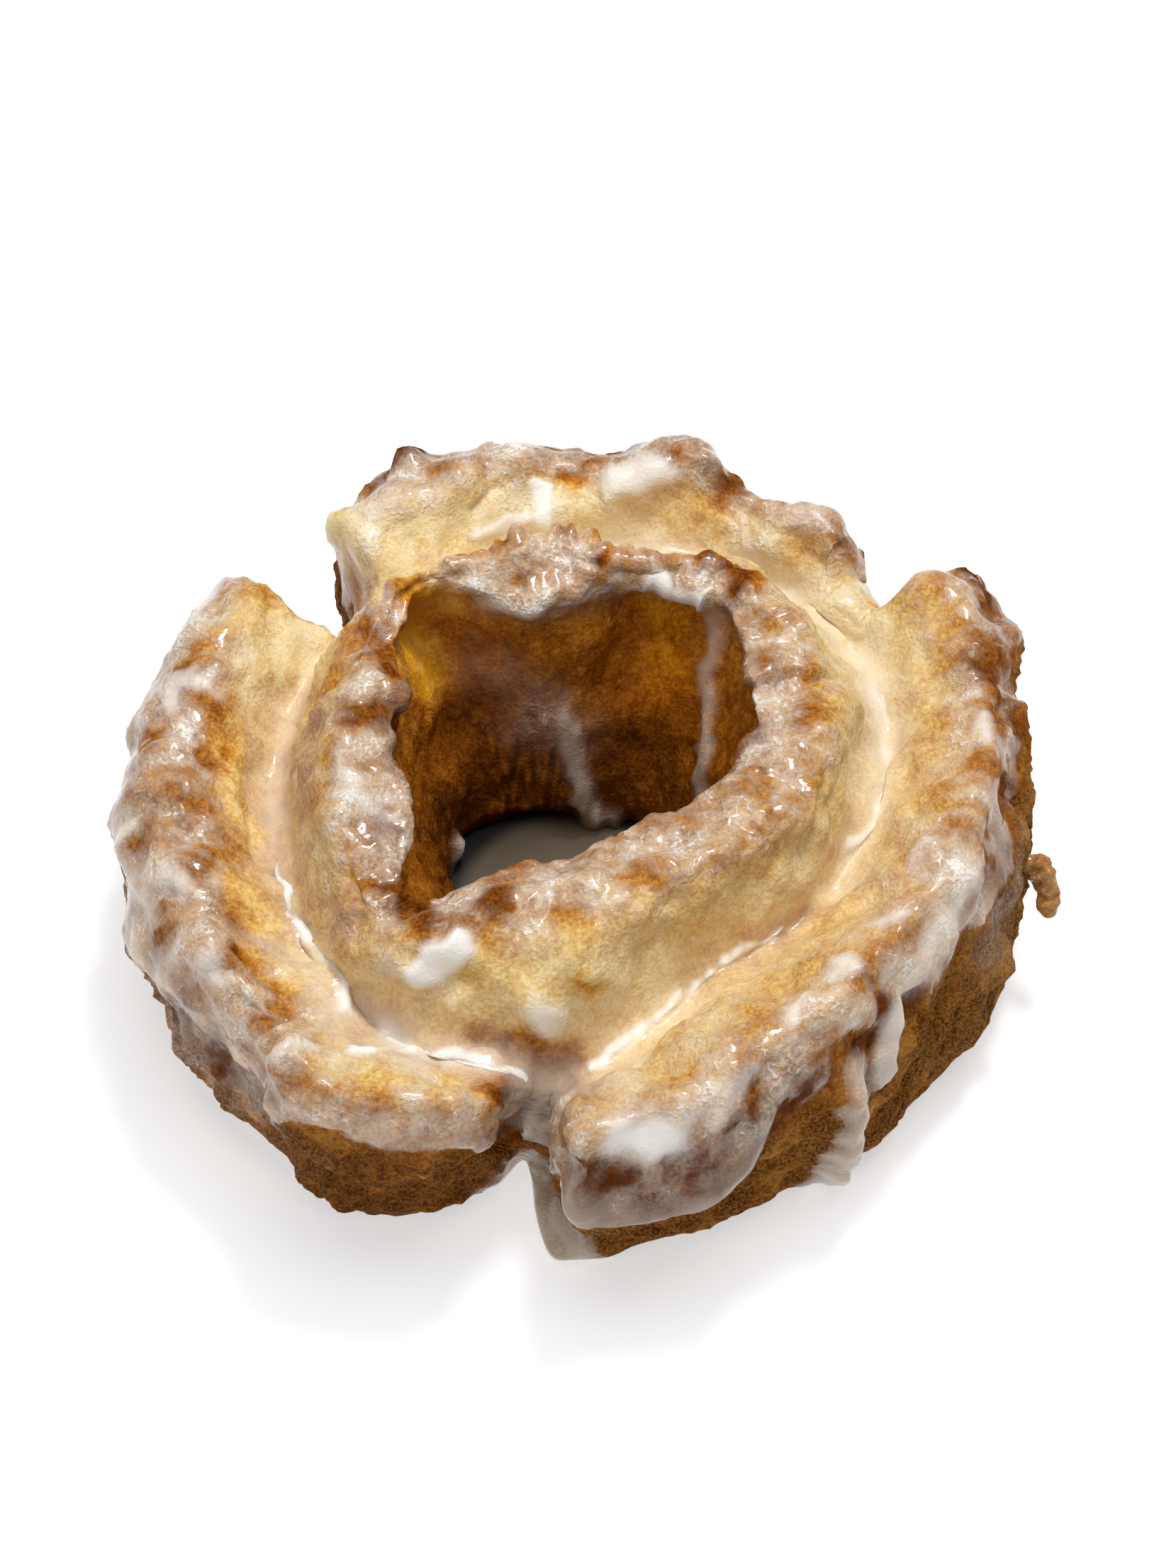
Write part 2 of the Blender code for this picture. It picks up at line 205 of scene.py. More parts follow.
def rails(angle):
    """Radius and height of the twenty rails that the skin is stretched over, one column per rail."""
    crest, brow, belly, foot, top, brow_height = (
        along(PETALS, name, angle) for name in ("crest", "brow", "belly", "foot", "top", "brow_height")
    )
    lip, inner, lip_height, collar_top, flank = (
        along(COLLAR, name, angle) for name in ("lip", "crest", "lip_height", "top", "flank")
    )
    groove = round_ring(GROOVE_RADII, angle)
    hole = round_ring(HOLE_FOOT_RADII, angle)
    crack = round_ring(SOLE_CRACK_RADII, angle)
    groove_height = GROOVE_HEIGHT - sum(
        depth * np.exp(-((turned(angle, middle) / half) ** 2)) for middle, half, depth in GROOVE_DIPS
    )
    pool = np.exp(-((turned(angle, POOL_ANGLE) / POOL_HALF_WIDTH) ** 4))
    foot = mix(foot, POOL_RADIUS, pool)
    level = np.zeros_like(angle)
    pairs = (
        (foot - SOLE_TUCK, level - BELOW_FLOOR),
        (foot, level + mix(1.8, 0.9, pool)),
        (belly, 0.45 * brow_height),
        (mix(belly, brow, 0.72), 0.82 * brow_height),
        (brow, brow_height),
        (mix(brow, crest, 0.42), mix(brow_height, top, 0.76)),
        (crest, top),
        (mix(crest, groove, 0.5), mix(top, groove_height, 0.42)),
        (groove, groove_height),
        (mix(groove, inner, 0.5), mix(groove_height, collar_top, flank)),
        (inner, collar_top),
        (mix(inner, lip, 0.6), mix(collar_top, lip_height, 0.35) + 0.2),
        (lip, lip_height),
        (lip + HOLE_OVERHANG, lip_height - 4.0),
        (mix(lip, hole, 0.5), 0.48 * lip_height),
        (hole, level + 2.2),
        (hole + SOLE_TUCK, level - BELOW_FLOOR),
        (crack - SOLE_CRACK_HALF_WIDTH, level - BELOW_FLOOR),
        (crack, level + SOLE_CRACK_DEPTH),
        (crack + SOLE_CRACK_HALF_WIDTH, level - BELOW_FLOOR),
    )
    return (np.stack(column, -1) for column in zip(*pairs))


def skin(angle, place):
    """Points of the smooth skin: at each angle, a closed curve over the rails, turned to that angle."""
    radius, height = (curve_through(rail, place) for rail in rails(angle))
    turn = np.radians(angle)[:, None]
    return np.stack([radius * np.cos(turn), radius * np.sin(turn), height], -1)


def normals_of(points):
    """Outward unit normals of a grid that closes both ways, from the steps to its neighbours."""
    around = np.roll(points, -1, 0) - np.roll(points, 1, 0)
    across = np.roll(points, -1, 1) - np.roll(points, 1, 1)
    normal = np.cross(around, across)
    return normal / np.maximum(np.linalg.norm(normal, axis=-1, keepdims=True), 1e-9)


def waves(points, band, random):
    """A band of relief: the mean of sine waves of about one length that run in random directions."""
    total = 0.0
    for _ in range(band.count):
        way = random.normal(size=3)
        way *= 2 * np.pi / (band.length * random.uniform(0.75, 1.3)) / np.linalg.norm(way)
        total = total + np.sin(points @ way + random.uniform(0, 2 * np.pi))
    return band.height * total / np.sqrt(band.count / 2)


def rows_between(place, first, last, fade):
    """1 on the rails from first to last, fading to 0 just inside both."""
    return smooth_step(place, first, first + fade) * (1.0 - smooth_step(place, last - fade, last))


def solid_relief(angle, place, points):
    """How far the solid stands proud of its rails: crags, less the creases, plus the thick drips."""
    random = np.random.default_rng(SEED)
    degrees = angle[:, None]
    on_top = rows_between(place, 3.0, 13.5, 1.5)
    above_sole = rows_between(place, 0.8, 15.4, 0.8)
    rise = waves(points, LUMPS, random) * above_sole
    rise = rise + waves(points, CRAGS, random) * mix(0.35, 1.0, on_top) * above_sole
    for crease in CREASES:
        middle = 0.5 * (crease.first + crease.last)
        off = turned(degrees - crease.slant * (place - middle), crease.angle) / crease.width
        rise = rise - crease.depth * np.exp(-(off**2)) * rows_between(place, crease.first, crease.last, 0.8)
    for drip in DRIPS:
        off = turned(degrees, drip.angle) / drip.width
        rise = rise + drip.thickness * np.exp(-(off**4)) * rows_between(place, drip.first, drip.last, 0.6)
    return rise


def grid_of(columns, steps):
    """The columns' angles, closer together where a petal ends, and where the rows lie on the rails."""
    fine = np.linspace(0.0, 360.0, 3601)
    density = np.ones_like(fine)
    for row in PETALS:
        density += 1.3 * np.exp(-((turned(fine, row.start) / 4.0) ** 2))
    total = np.concatenate([[0.0], np.cumsum(0.5 * (density[1:] + density[:-1]))])
    angle = np.interp(np.arange(columns) / columns * total[-1], total, fine)
    return angle, np.concatenate([rail + np.arange(count) / count for rail, count in enumerate(steps)])


def to_frame():
    """The step, in millimetres, from the ring's own middle to the frame's, found from both boxes."""
    angle, place = grid_of(*SOLID_GRID)
    points = skin(angle, place)
    points = points + normals_of(points) * solid_relief(angle, place, points)[..., None]
    low = points.min(axis=(0, 1))
    return np.array([cad_low[0] / MM - low[0], cad_low[1] / MM - low[1], 0.0])


SHIFT = to_frame()

# ---------------------------------------------------------------- what lies where on the skin

# A mark is a stroke along a path of (angle, rail) points, of this half width, fading out from its middle:
# softly where its edge is 2, and crisply where it is 6. white is opaque glaze, film is thin glaze, bake is
# browning, amber is glaze soaked into hot crust, smooth is where a run has set smooth and clear of crumbs,
# and rise is relief in millimetres. Some marks also use white for painted highlights, bake for painted
# shade, and bake and amber for painted light; each says so.
Mark = namedtuple(
    "Mark", "name path width edge white film bake amber smooth rise", defaults=(2.0,) + (0.0,) * 6
)
MARKS = (
    # thick white glaze on the tops; the first three blobs are also partly painted highlights
    Mark("collar corner blob", ((240.5, 9.0), (245.5, 9.5)), 1.7, 3.0, white=1.0, rise=0.35),
    Mark("near flank blob", ((262.5, 8.7), (264, 8.6)), 2.0, white=0.7, rise=0.25),
    Mark("near petal blob", ((276.5, 5.2), (280.5, 5.0)), 2.7, white=1.0, smooth=0.5, rise=0.3),
    Mark("near petal dab", ((-70, 5.3), (-66, 5.4)), 1.8, white=0.55, rise=0.15),
    Mark("near right dab", ((-23, 6.4), (-19, 6.4)), 1.9, white=0.5, film=0.2, rise=0.1),
    Mark("left dab 1", ((165.5, 6.2), (166, 5.3), (170, 5.4)), 2.1, white=0.6, rise=0.15),
    Mark("brown between the left dabs", ((183, 4.9), (188, 5.2)), 2.2, bake=0.12, film=-0.22),
    Mark("left dab 2", ((171, 4.6), (174, 4.6)), 1.7, white=0.5, rise=0.1),
    Mark("left dab 3", ((200, 5.5), (203, 5.5)), 1.9, white=0.6, rise=0.15),
    Mark("left dab 4", ((214, 5.2), (217, 5.2)), 1.8, white=0.6, rise=0.15),
    Mark("collar corner's pale foot", ((235, 9.0), (241, 9.0)), 2.0, white=0.45, film=0.1),
    Mark("left collar's pale top", ((209, 11.0), (200, 10.6), (191, 10.1)), 2.6,
         white=0.42, film=0.3, smooth=0.3),
    Mark("near collar's pale crest", ((250, 10.2), (262, 9.9), (270.5, 9.7), (279, 9.9), (287, 10.1)), 2.3,
         white=0.05),
    Mark("far petal's pale crest", ((124, 5.4), (117, 6.0), (109, 6.1)), 2.3, white=0.4, film=0.25),
    Mark("white in the far groove", ((108, 7.35), (103, 7.3), (99, 7.25)), 0.8, 3.0, white=1.0, rise=0.25),
    Mark("drip into the far groove", ((96, 6.6), (96.5, 7.3)), 1.0, 4.0, white=1.0, rise=0.3),
    Mark("white of the far groove", ((103, 7.4), (94, 7.2)), 2.2, white=0.5),
    Mark("pale foot of the knob", ((62, 7.1), (54, 6.9), (46, 6.9)), 2.2, bake=-0.2, film=0.25),
    Mark("near petal blob 2", ((287, 5.0), (289.5, 5.0)), 1.6, white=0.5, rise=0.15),
    Mark("right petal dab 1", ((-58, 6.0), (-54, 6.3)), 1.3, white=0.6, rise=0.15),
    Mark("right petal dab 2", ((-47, 6.2), (-45, 6.2)), 1.6, white=0.6, rise=0.15),
    Mark("right petal dab 3", ((-35, 6.3), (-33, 6.2)), 1.5, white=0.55, rise=0.1),
    Mark("right rim band", ((-20, 4.9), (-28, 4.8), (-38, 4.5)), 2.7, white=0.42, film=0.3,
         smooth=0.7, rise=0.3),
    Mark("far petal dab", ((84, 6.4), (77, 6.5)), 2.0, 3.0, white=0.7, rise=0.2),
    Mark("left rim", ((176, 4.4), (186, 4.2), (198, 4.3)), 2.0, white=0.45, smooth=0.4, rise=0.25),
    Mark("left tip rim", ((146, 4.2), (152, 4.7)), 1.6, white=0.6, rise=0.2),
    Mark("hump stripe", ((231, 5.2), (233, 6.4)), 1.4, white=0.5, rise=0.2),
    Mark("right dab", ((3, 5.9), (7, 5.9)), 1.3, white=0.6, rise=0.1),
    Mark("cream of the right valley", ((35, 7.7), (38, 6.6), (41, 5.4), (42.5, 4.4)), 3.4, 3.0,
         bake=-0.45, film=0.12),
    Mark("right groove glaze", ((33, 8.0), (20, 8.0), (6, 8.0), (-8, 8.0)), 3.0, film=0.3),
    Mark("far groove glaze", ((52, 8.0), (66, 8.0), (84, 7.9)), 2.6, film=0.25),
    # the slab's glazed lip, and the left collar's
    Mark("slab lip", ((117, 12.1), (110, 12.2), (99, 12.2), (86, 12.1), (79, 11.7)), 1.2, 3.0,
         white=0.4, film=0.2, smooth=0.4, rise=-0.3),
    Mark("flap lip", ((69, 11.4), (64.5, 12.2), (57.5, 12.1)), 1.3, 3.0, white=0.8, rise=0.4),
    Mark("left collar lip", ((192, 12.0), (200, 12.0), (213, 11.8), (220, 11.3)), 1.6,
         white=0.1, film=0.05, rise=0.2),
    Mark("left lip set back", ((172, 12.1), (182, 12.1), (189, 12.0)), 2.4, 3.0,
         bake=0.2, film=-0.2, rise=-1.0),
    Mark("left collar's brown heel", ((216, 11.7), (226, 11.5)), 2.2, bake=0.25, film=-0.25),
    Mark("slab's bare left end", ((122, 12.2), (131, 12.2), (141, 12.3), (148, 12.5)), 1.8, 3.0,
         film=-0.4, bake=-0.1, amber=0.6),
    # runs down the side
    Mark("short drip", ((-42.5, 4.4), (-45.5, 3.8), (-46.5, 3.1)), 1.6, 6.0,
         white=0.5, film=0.3, smooth=1.0, rise=0.8),
    Mark("bare crust right of the drip", ((-38.5, 4.3), (-39.5, 3.0)), 1.5, 4.0,
         bake=0.3, film=-0.6, rise=-0.8),
    Mark("long drip", ((-51, 4.2), (-52, 3.0), (-53, 1.4)), 1.6, 6.0,
         white=0.2, film=0.6, smooth=1.0, rise=0.6),
    Mark("long drip foot", ((-53, 1.3), (-55, 1.0)), 1.5, 4.0, white=0.5, film=0.3, smooth=1.0, rise=0.6),
    Mark("near petal lip", ((270, 4.3), (274, 3.5), (278, 3.0), (284, 3.5), (290, 4.0)), 2.3, 4.0,
         white=0.1, film=-0.08, bake=0.3, smooth=0.9, rise=0.4),
    Mark("right sheet", ((-8, 4.2), (-13, 3.3), (-20, 2.7)), 3.6, film=0.1, smooth=0.6),
    # the wet groove and its cracked white line, and white streaks along it that are partly painted
    # highlights
    Mark("groove line", ((271.5, 7.9), (279.5, 8.05), (289, 8.1), (307.5, 8.15), (320.5, 8.0)), 0.55,
         white=0.95, rise=0.2),
    Mark("groove streak", ((-14, 8.2), (-3, 7.95)), 0.9, white=0.9, rise=0.2),
    # Partly painted highlights: white glaze lines where the wet groove catches the light.
    Mark("left groove highlight streak", ((196, 8.0), (204, 8.05), (212, 8.1), (219, 7.8), (230, 7.4)), 0.6,
         white=1.0, rise=0.4),
    Mark("left groove highlight strand", ((205, 7.7), (213, 7.7), (224, 7.6)), 0.45, white=0.9, rise=0.3),
    Mark("near groove highlight streak", ((237, 6.8), (242, 7.1), (243.5, 8.0), (248, 8.2), (257, 8.1)), 0.55,
         white=1.0, rise=0.35),
    Mark("near groove highlight strand", ((239, 7.6), (246, 7.7), (252, 7.9), (258, 7.7)), 0.4, white=0.9, rise=0.25),
    Mark("near groove glaze", ((234, 8.0), (244, 7.5), (252, 7.9), (260, 7.7), (270, 7.0)), 3.6,
         film=0.42, bake=0.3, smooth=0.5),
    Mark("left groove glaze", ((158, 8.2), (176, 8.1), (196, 8.0), (212, 7.9)), 2.6, film=0.18, bake=0.35),
    Mark("near right groove's cream", ((300, 8.1), (315, 8.1), (328, 8.0)), 2.4, bake=0.3),
    # glaze in the near gap
    Mark("gap glaze", ((262, 7.4), (263, 6.0), (265, 4.0), (267, 1.5)), 4.0,
         film=-0.1, bake=0.4, amber=0.15,
         smooth=0.7),
    Mark("pool", ((260, 1.0), (265, 1.0), (269, 1.0)), 4.2, 4.0, film=0.65, white=0.12, smooth=1.0),
    # the hole's wall
    Mark("right wall run", ((56, 12.2), (51, 13.5), (40, 13.9), (33, 14.3)), 1.3, 4.0,
         white=0.3, film=0.4, smooth=1.0, rise=0.5),
    Mark("far wall run", ((96, 14.0), (91, 14.5), (85, 15.0)), 1.3, 4.0, white=0.35, film=0.35, smooth=1.0,
         rise=0.5),
    Mark("far wall veil", ((119, 13.5), (106, 13.8), (97, 14.1)), 3.4, film=0.18),
    Mark("far wall veil 2", ((112, 14.1), (104, 13.9)), 2.4, film=0.15),
    Mark("far foot glaze", ((84, 15.1), (74, 15.2)), 1.5, 4.0, white=0.4, film=0.4, smooth=1.0, rise=1.4),
    Mark("left foot glaze", ((152, 15.0), (158, 15.2)), 1.3, 4.0,
         white=0.6, film=0.3, smooth=1.0, rise=1.2),
    # Partly painted light: amber soak on the hole's left facet, made paler as if lit.
    Mark("amber facet with painted light", ((128, 12.6), (136, 12.8), (135, 13.5)), 3.4, amber=0.5, bake=-0.55),
    # Painted shade: the darkest browning and no glaze, over a real recess under the far wall's foot.
    Mark("painted shade in the recess under the far wall", ((101, 15.55), (113, 15.6), (127, 15.55)), 1.0, 6.0,
         bake=1.5, film=-1.0, amber=-1.0, rise=-2.4),
    Mark("crumbly edge over the gap", ((103, 14.9), (115, 14.9), (128, 14.9)), 0.5, bake=-0.4, amber=0.3),
    # Painted light: the wall under the slab made paler and more amber, lifting the slab's shade.
    Mark("painted light on the amber under the slab", ((118, 12.9), (104, 12.8), (88, 12.8), (72, 12.8)), 2.4,
         amber=0.15, bake=-0.1),
    Mark("amber right", ((66, 13.1), (63, 13.7)), 3.4, amber=0.4, bake=-0.15),
    # baked spots and pits
    Mark("pit 1", ((175, 6.95), (176, 6.9)), 0.8, bake=0.4, amber=0.5, film=-0.5, rise=-0.35),
    Mark("pit 2", ((85, 10.6), (85.5, 10.6)), 1.0, bake=0.4, amber=0.7, film=-0.6, rise=-0.4),
    Mark("pit 3", ((91, 6.2), (92, 6.2)), 1.2, bake=0.45, amber=0.7, film=-0.6, rise=-0.3),
    Mark("pit 4", ((156, 11.1), (157, 11.1)), 0.9, bake=0.3, amber=0.6, film=-0.5, rise=-0.3),
    Mark("pit 5", ((271, 8.85), (272, 8.8)), 0.9, bake=0.3, amber=0.3, film=-0.4, rise=-0.3),
    Mark("pit 6", ((229, 7.9), (233, 7.9)), 1.8, bake=0.35, amber=0.3, film=-0.4, rise=-0.3),
    Mark("pit 7", ((214, 6.4), (215, 6.3)), 0.9, bake=0.3, amber=0.5, film=-0.4, rise=-0.3),
    Mark("red lumps", ((257, 6.6), (260, 6.4), (262, 6.9)), 1.6, 3.0,
         bake=0.35, amber=0.3, film=-0.2, rise=0.5),
    Mark("amber flap", ((59, 10.2), (51, 9.8), (50, 10.6)), 1.6,
         bake=0.35, amber=0.6, film=-0.35, rise=0.6),
    # pale and brown stretches of the tops
    Mark("left petal cream", ((144, 7.2), (152, 7.2), (160, 7.1)), 4.0, bake=-0.2),
    Mark("left petal gold", ((144, 5.6), (150, 5.8)), 3.4, bake=-0.2, film=-0.1),
    Mark("far petal gold", ((123, 6.4), (112, 6.8), (99, 7.1), (88, 7.2)), 3.2, bake=-0.3),
    Mark("far petal's brown crest", ((104, 5.4), (94, 5.5), (84, 5.4), (72, 5.2)), 3.2,
         bake=0.14, film=0.12),
    Mark("right petal's brown rim", ((38, 4.8), (22, 4.9), (8, 4.8), (-4, 4.7), (-14, 4.4)), 2.6, 3.0,
         bake=0.16, film=-0.24, rise=-0.6),
    Mark("right petal's brown top", ((14, 6.0), (20, 5.8)), 2.4, bake=0.15, film=-0.15),
    Mark("far peak's brown top", ((80, 6.2), (73, 6.4), (68, 6.2)), 3.0, bake=0.18, film=-0.12),
    Mark("far petal's brown rim", ((124, 4.7), (110, 4.7), (94, 4.6), (76, 4.6)), 1.8, 3.0,
         bake=0.12, film=-0.2),
    # glassy gold edges where the left petal's scales meet the groove
    Mark("first scale's gold edge", ((174, 6.6), (178, 7.1)), 1.7, 3.0, bake=-0.22, film=-0.35, amber=0.15),
    Mark("second scale's gold edge", ((184, 7.0), (189, 7.4)), 1.7, 3.0, bake=-0.2, film=-0.35, amber=0.15),
    Mark("third scale's gold edge", ((204, 6.8), (210, 7.1)), 1.9, 3.0, bake=-0.22, film=-0.35, amber=0.15),
    Mark("fourth scale's gold edge", ((216, 6.6), (221, 6.9)), 1.6, 3.0, bake=-0.2, film=-0.3, amber=0.15),
    Mark("near left gold", ((238, 6.4), (246, 6.5), (252, 6.6)), 2.6, bake=-0.15, film=-0.15),
    Mark("knob brown", ((48, 6.2), (52, 5.5), (56, 5.0)), 2.2, bake=0.1, amber=0.15, film=-0.1),
    Mark("left flank amber", ((146, 9.4), (158, 9.1)), 3.0, bake=0.3, amber=0.35, film=-0.1),
    Mark("left collar's brown flank", ((168, 8.9), (185, 8.9), (205, 8.9), (222, 9.0)), 2.6, 3.0,
         bake=0.3, film=0.12),
    Mark("left petal's brown top", ((166, 6.3), (184, 6.5), (200, 6.4), (214, 6.6), (224, 6.4)), 2.8, 3.0,
         bake=0.2, film=-0.04),
    Mark("near petal's brown end", ((270, 4.8), (278, 4.3), (285, 4.4), (292, 4.5), (301, 4.6)), 2.4, 3.0,
         bake=0.45, film=-0.25),
    Mark("near petal's pale top", ((277, 6.7), (286, 6.6), (294, 6.8)), 2.4, bake=-0.1, film=0.15),
    Mark("left rim's brown stretch", ((205, 4.3), (210, 3.6), (214, 3.0)), 2.4, bake=0.12, film=-0.2),
    Mark("left collar's pale flank", ((202, 8.9), (212, 9.0)), 2.4, bake=-0.25, film=0.1),
    Mark("near collar's pale flank", ((278, 8.8), (288, 8.7)), 3.0, bake=-0.12),
    Mark("brown foot of the near flank", ((253, 8.4), (260, 8.4), (268, 8.2)), 1.8, 3.0,
         bake=0.35, film=-0.3),
    Mark("brown spots", ((238, 10.1), (243, 10.3), (249, 10.4)), 1.9, bake=0.3, film=-0.3),
    Mark("brown spot of the left collar", ((171, 10.2), (175, 10.3)), 1.9, bake=0.25, film=-0.25),
    Mark("amber end of the left collar", ((137, 11.1), (141, 10.8)), 2.2, bake=0.2, amber=0.4, film=-0.2),
    Mark("slab's brown crest", ((104, 10.3), (92, 10.4)), 1.5, bake=0.12, film=-0.05),
    Mark("brown notch of the far right", ((53, 6.9), (50, 6.9)), 1.5, bake=0.35, film=-0.3),
    Mark("brown spot in the right valley", ((37, 7.9), (35, 7.9)), 1.5, bake=0.35, film=-0.3),
    Mark("brown spot of the right collar", ((-1.5, 11.3), (1, 11.3)), 2.0, bake=0.3, film=-0.3),
    Mark("brown spot of the right petal", ((14.5, 5.8), (16, 5.9)), 1.6, bake=0.25, film=-0.2),
    Mark("brown spots by the drips", ((-44, 4.6), (-49, 4.3)), 1.6, 3.0, bake=0.35, film=-0.35),
    Mark("pale dab of the far right", ((56, 5.7), (52, 5.8)), 2.2, white=0.45, film=0.2),
    Mark("pale dab of the near collar", ((269, 10.1), (272, 10.0)), 2.0, white=0.4, film=0.2),
    Mark("pale streak of the right groove", ((26, 8.3), (19, 8.4), (10, 8.4)), 1.6, white=0.3, film=0.2),
    Mark("near left grey glaze", ((214, 7.0), (226, 7.2), (238, 6.9), (246, 7.0)), 2.2, 3.0,
         white=0.25, film=0.35, smooth=0.5),
    Mark("bare crumb beside the pool", ((276, 1.3), (283, 1.8)), 2.6, 4.0, film=-0.8, bake=0.5),
  
          Mark("glaze pooled in the left groove",
         ((200, 8.0), (210, 7.9), (222, 7.8), (232, 7.8), (246, 7.9), (258, 7.8)), 2.3, 3.0,
         film=0.15, smooth=0.3, rise=1.1),
    Mark("left side's film", ((196, 3.4), (207, 3.0), (219, 2.8), (228, 2.9)), 4.6, 3.0,
         film=0.12, bake=-0.05, smooth=0.4),
    Mark("pale film on the right collar", ((46, 10.8), (40, 10.6), (32, 10.4)), 2.2, 3.0,
         white=0.15, film=0.15, bake=-0.1),
    Mark("pale film on the right groove", ((40, 8.5), (28, 8.7), (14, 8.8), (4, 8.8)), 2.0,
         film=0.15, bake=-0.05),
    Mark("pale film on the far petal", ((104, 6.6), (92, 6.7), (80, 6.8)), 2.4, film=0.12, bake=-0.1),
    Mark("golden patches of the far petal", ((123, 5.6), (116, 5.3), (110, 5.5)), 1.8,
         bake=0.12, amber=0.25, film=-0.1),
    Mark("golden patch by the far dab", ((70, 6.0), (66, 5.7)), 1.6, bake=0.2, film=-0.15),
    Mark("slab's peak", ((95.5, 9.8), (94.5, 9.9)), 1.1, 3.0, bake=0.2, film=-0.2, rise=1.2),
    # small points and hollows of the rim
    Mark("right rim set in", ((24, 3.9), (11, 4.1), (0, 4.0)), 3.2, rise=-0.7),
    Mark("far point", ((114.5, 4.8), (113, 4.7)), 1.3, 3.0, bake=0.3, film=-0.3, rise=1.1),
    Mark("hollow beside the far point", ((121, 4.6), (119, 4.5)), 2.2, rise=-0.7),
    Mark("peak's shoulder", ((77, 5.2), (74, 5.0)), 2.4, rise=0.7),
    Mark("knob's shoulder", ((64.5, 5.0), (62, 4.8)), 1.8, rise=0.7),
    Mark("upper right point", ((34, 5.0), (32, 4.8)), 1.5, 3.0, bake=0.2, rise=0.9),
    Mark("near left foot", ((232, 2.4), (238, 2.0), (244, 2.0)), 3.4, rise=-0.6),
    Mark("far petal's pale end", ((127, 3.4), (127, 5.0), (127, 6.4)), 3.0, bake=-0.7),
)

# How browning and film lie across the rails, one value a rail, from the foot round to the sole. At the foot
# of the hole's wall the browning is at its darkest, partly as painted shade.
BAKE_ACROSS = (0.85, 0.97, 0.96, 0.91, 0.76, 0.62, 0.50, 0.28, 0.15, 0.22, 0.52, 0.62, 0.66,
               0.62, 0.82, 1.0, 0.98, 0.75, 0.55, 0.75)
FILM_ACROSS = (0.0, 0.0, 0.0, 0.08, 0.30, 0.33, 0.30, 0.14, 0.08, 0.12, 0.28, 0.38, 0.36,
               0.0, 0.0, 0.0, 0.0, 0.0, 0.0, 0.0)
GROOVE_RAIL = 8.0
GROOVE_FILM = 0.32
GROOVE_FILM_WIDTH = 0.50
# The rail where glaze stops down the side, every 15 degrees from 0.
GLAZE_EDGE = (4.3, 4.3, 3.8, 3.9, 3.6, 3.2, 3.7, 3.3, 3.9, 3.2, 3.4, 3.0,
              2.9, 2.6, 2.5, 2.6, 4.2, 4.5, 4.0, 3.0, 4.5, 4.4, 4.3, 3.6)
VEIL_ANGLE = 195.0
VEIL_HALF_WIDTH = 38.0
VEIL_FILM = 0.11
PETAL_CREST = 6.0
GLAZE_THICKNESS = 0.15

# A ledge is a crisp jagged step that runs along one rail round part of the ring: the middle and half of its
# reach in degrees, its rail, which side of it is high (1 inwards), and its height.
Ledge = namedtuple("Ledge", "name angle half rail side height")
LEDGES = (
    Ledge("left collar's foot", 190.0, 34.0, 8.5, 1, 0.55),
    Ledge("left petal's inner edge", 192.0, 36.0, 7.35, -1, 0.4),
    Ledge("right petal's inner edge", 352.0, 22.0, 7.3, -1, 0.3),
    Ledge("near petal's inner edge", 293.0, 16.0, 7.2, -1, 0.3),
    Ledge("near left skirt", 243.0, 14.0, 4.35, 1, 0.5),
)

# A fold is a crisp step across the rails, where one lobe of batter lies over the next: its angle at its
# first rail, its slant in degrees a rail, which side of it is high (1 for larger angles), its rails and its
# height.
Fold = namedtuple("Fold", "name angle slant side first last height")
FOLDS = (
    Fold("fold in the ramp", 20.5, 1.9, 1, 9.2, 12.4, 0.75),
    Fold("right end of the slab", 55.5, 1.0, 1, 9.3, 11.8, 0.5),
    Fold("first left scale", 168.0, 5.0, -1, 4.7, 7.4, 0.4),
    Fold("second left scale", 183.0, 5.0, -1, 4.7, 7.4, 0.4),
    Fold("third left scale", 199.0, 4.0, -1, 4.7, 7.4, 0.4),
    Fold("fourth left scale", 213.0, 3.0, -1, 4.7, 7.4, 0.45),
    Fold("hump's edge", 226.0, 1.0, 1, 4.4, 7.2, 0.5),
    Fold("near right fold", -66.0, -4.0, -1, 5.2, 7.0, 0.15),
    Fold("middle right fold", -41.0, -4.0, -1, 5.2, 7.0, 0.2),
    Fold("upper right fold", 19.0, 3.0, -1, 4.7, 7.0, 0.4),
    Fold("far fold", 101.0, 3.0, 1, 4.7, 7.2, 0.4),
)

# A crumb that hangs from the right side: the middle of it from its top to its end, and its half width.
CRUMB_PATH = ((41.6, -4.2, 14.4), (43.6, -4.4, 14.6), (44.4, -5.8, 12.6), (44.6, -7.6, 10.4))
CRUMB_STOPS = (0.0, 0.3, 0.65, 1.0)
CRUMB_SIDE = (0.0, -0.6, 0.8)
CRUMB_WIDTH = 1.1

# Where the lower side is torn open, where the far wall is combed, and where the slab's crest has teeth.
TORN_ANGLE = 243.0
TORN_HALF = 13.0
COMB_ANGLE = 113.0
COMB_HALF = 15.0
COMB_RAIL = 14.7
TEETH_ANGLE = 101.0
TEETH_HALF = 38.0
TEETH_RAIL = 9.85
TEETH_HEIGHT = 0.5

# Random waves: their length in millimetres, their strength and how many there are.
CLOUDS = Waves(6.0, 0.12, 24)
FLECKS = Waves(2.0, 0.06, 30)
WARP = Waves(3.2, 0.25, 16)
SCALLOPS = Waves(7.0, 0.22, 12)
LEDGE_JAGS = Waves(2.6, 0.09, 20)
FOLD_JAGS = Waves(3.0, 0.5, 20)
STRIPES = Waves(0.9, 1.0, 12)
TORN_CRUMB = Waves(1.9, 0.22, 26)
PEBBLES = Waves(2.5, 0.095, 30)
GRIT = Waves(1.2, 0.06, 36)
TEETH = Waves(3.4, 1.0, 14)
KNOBS = Waves(4.6, 0.22, 24)
CRUMB_LUMPS = Waves(1.3, 0.2, 20)


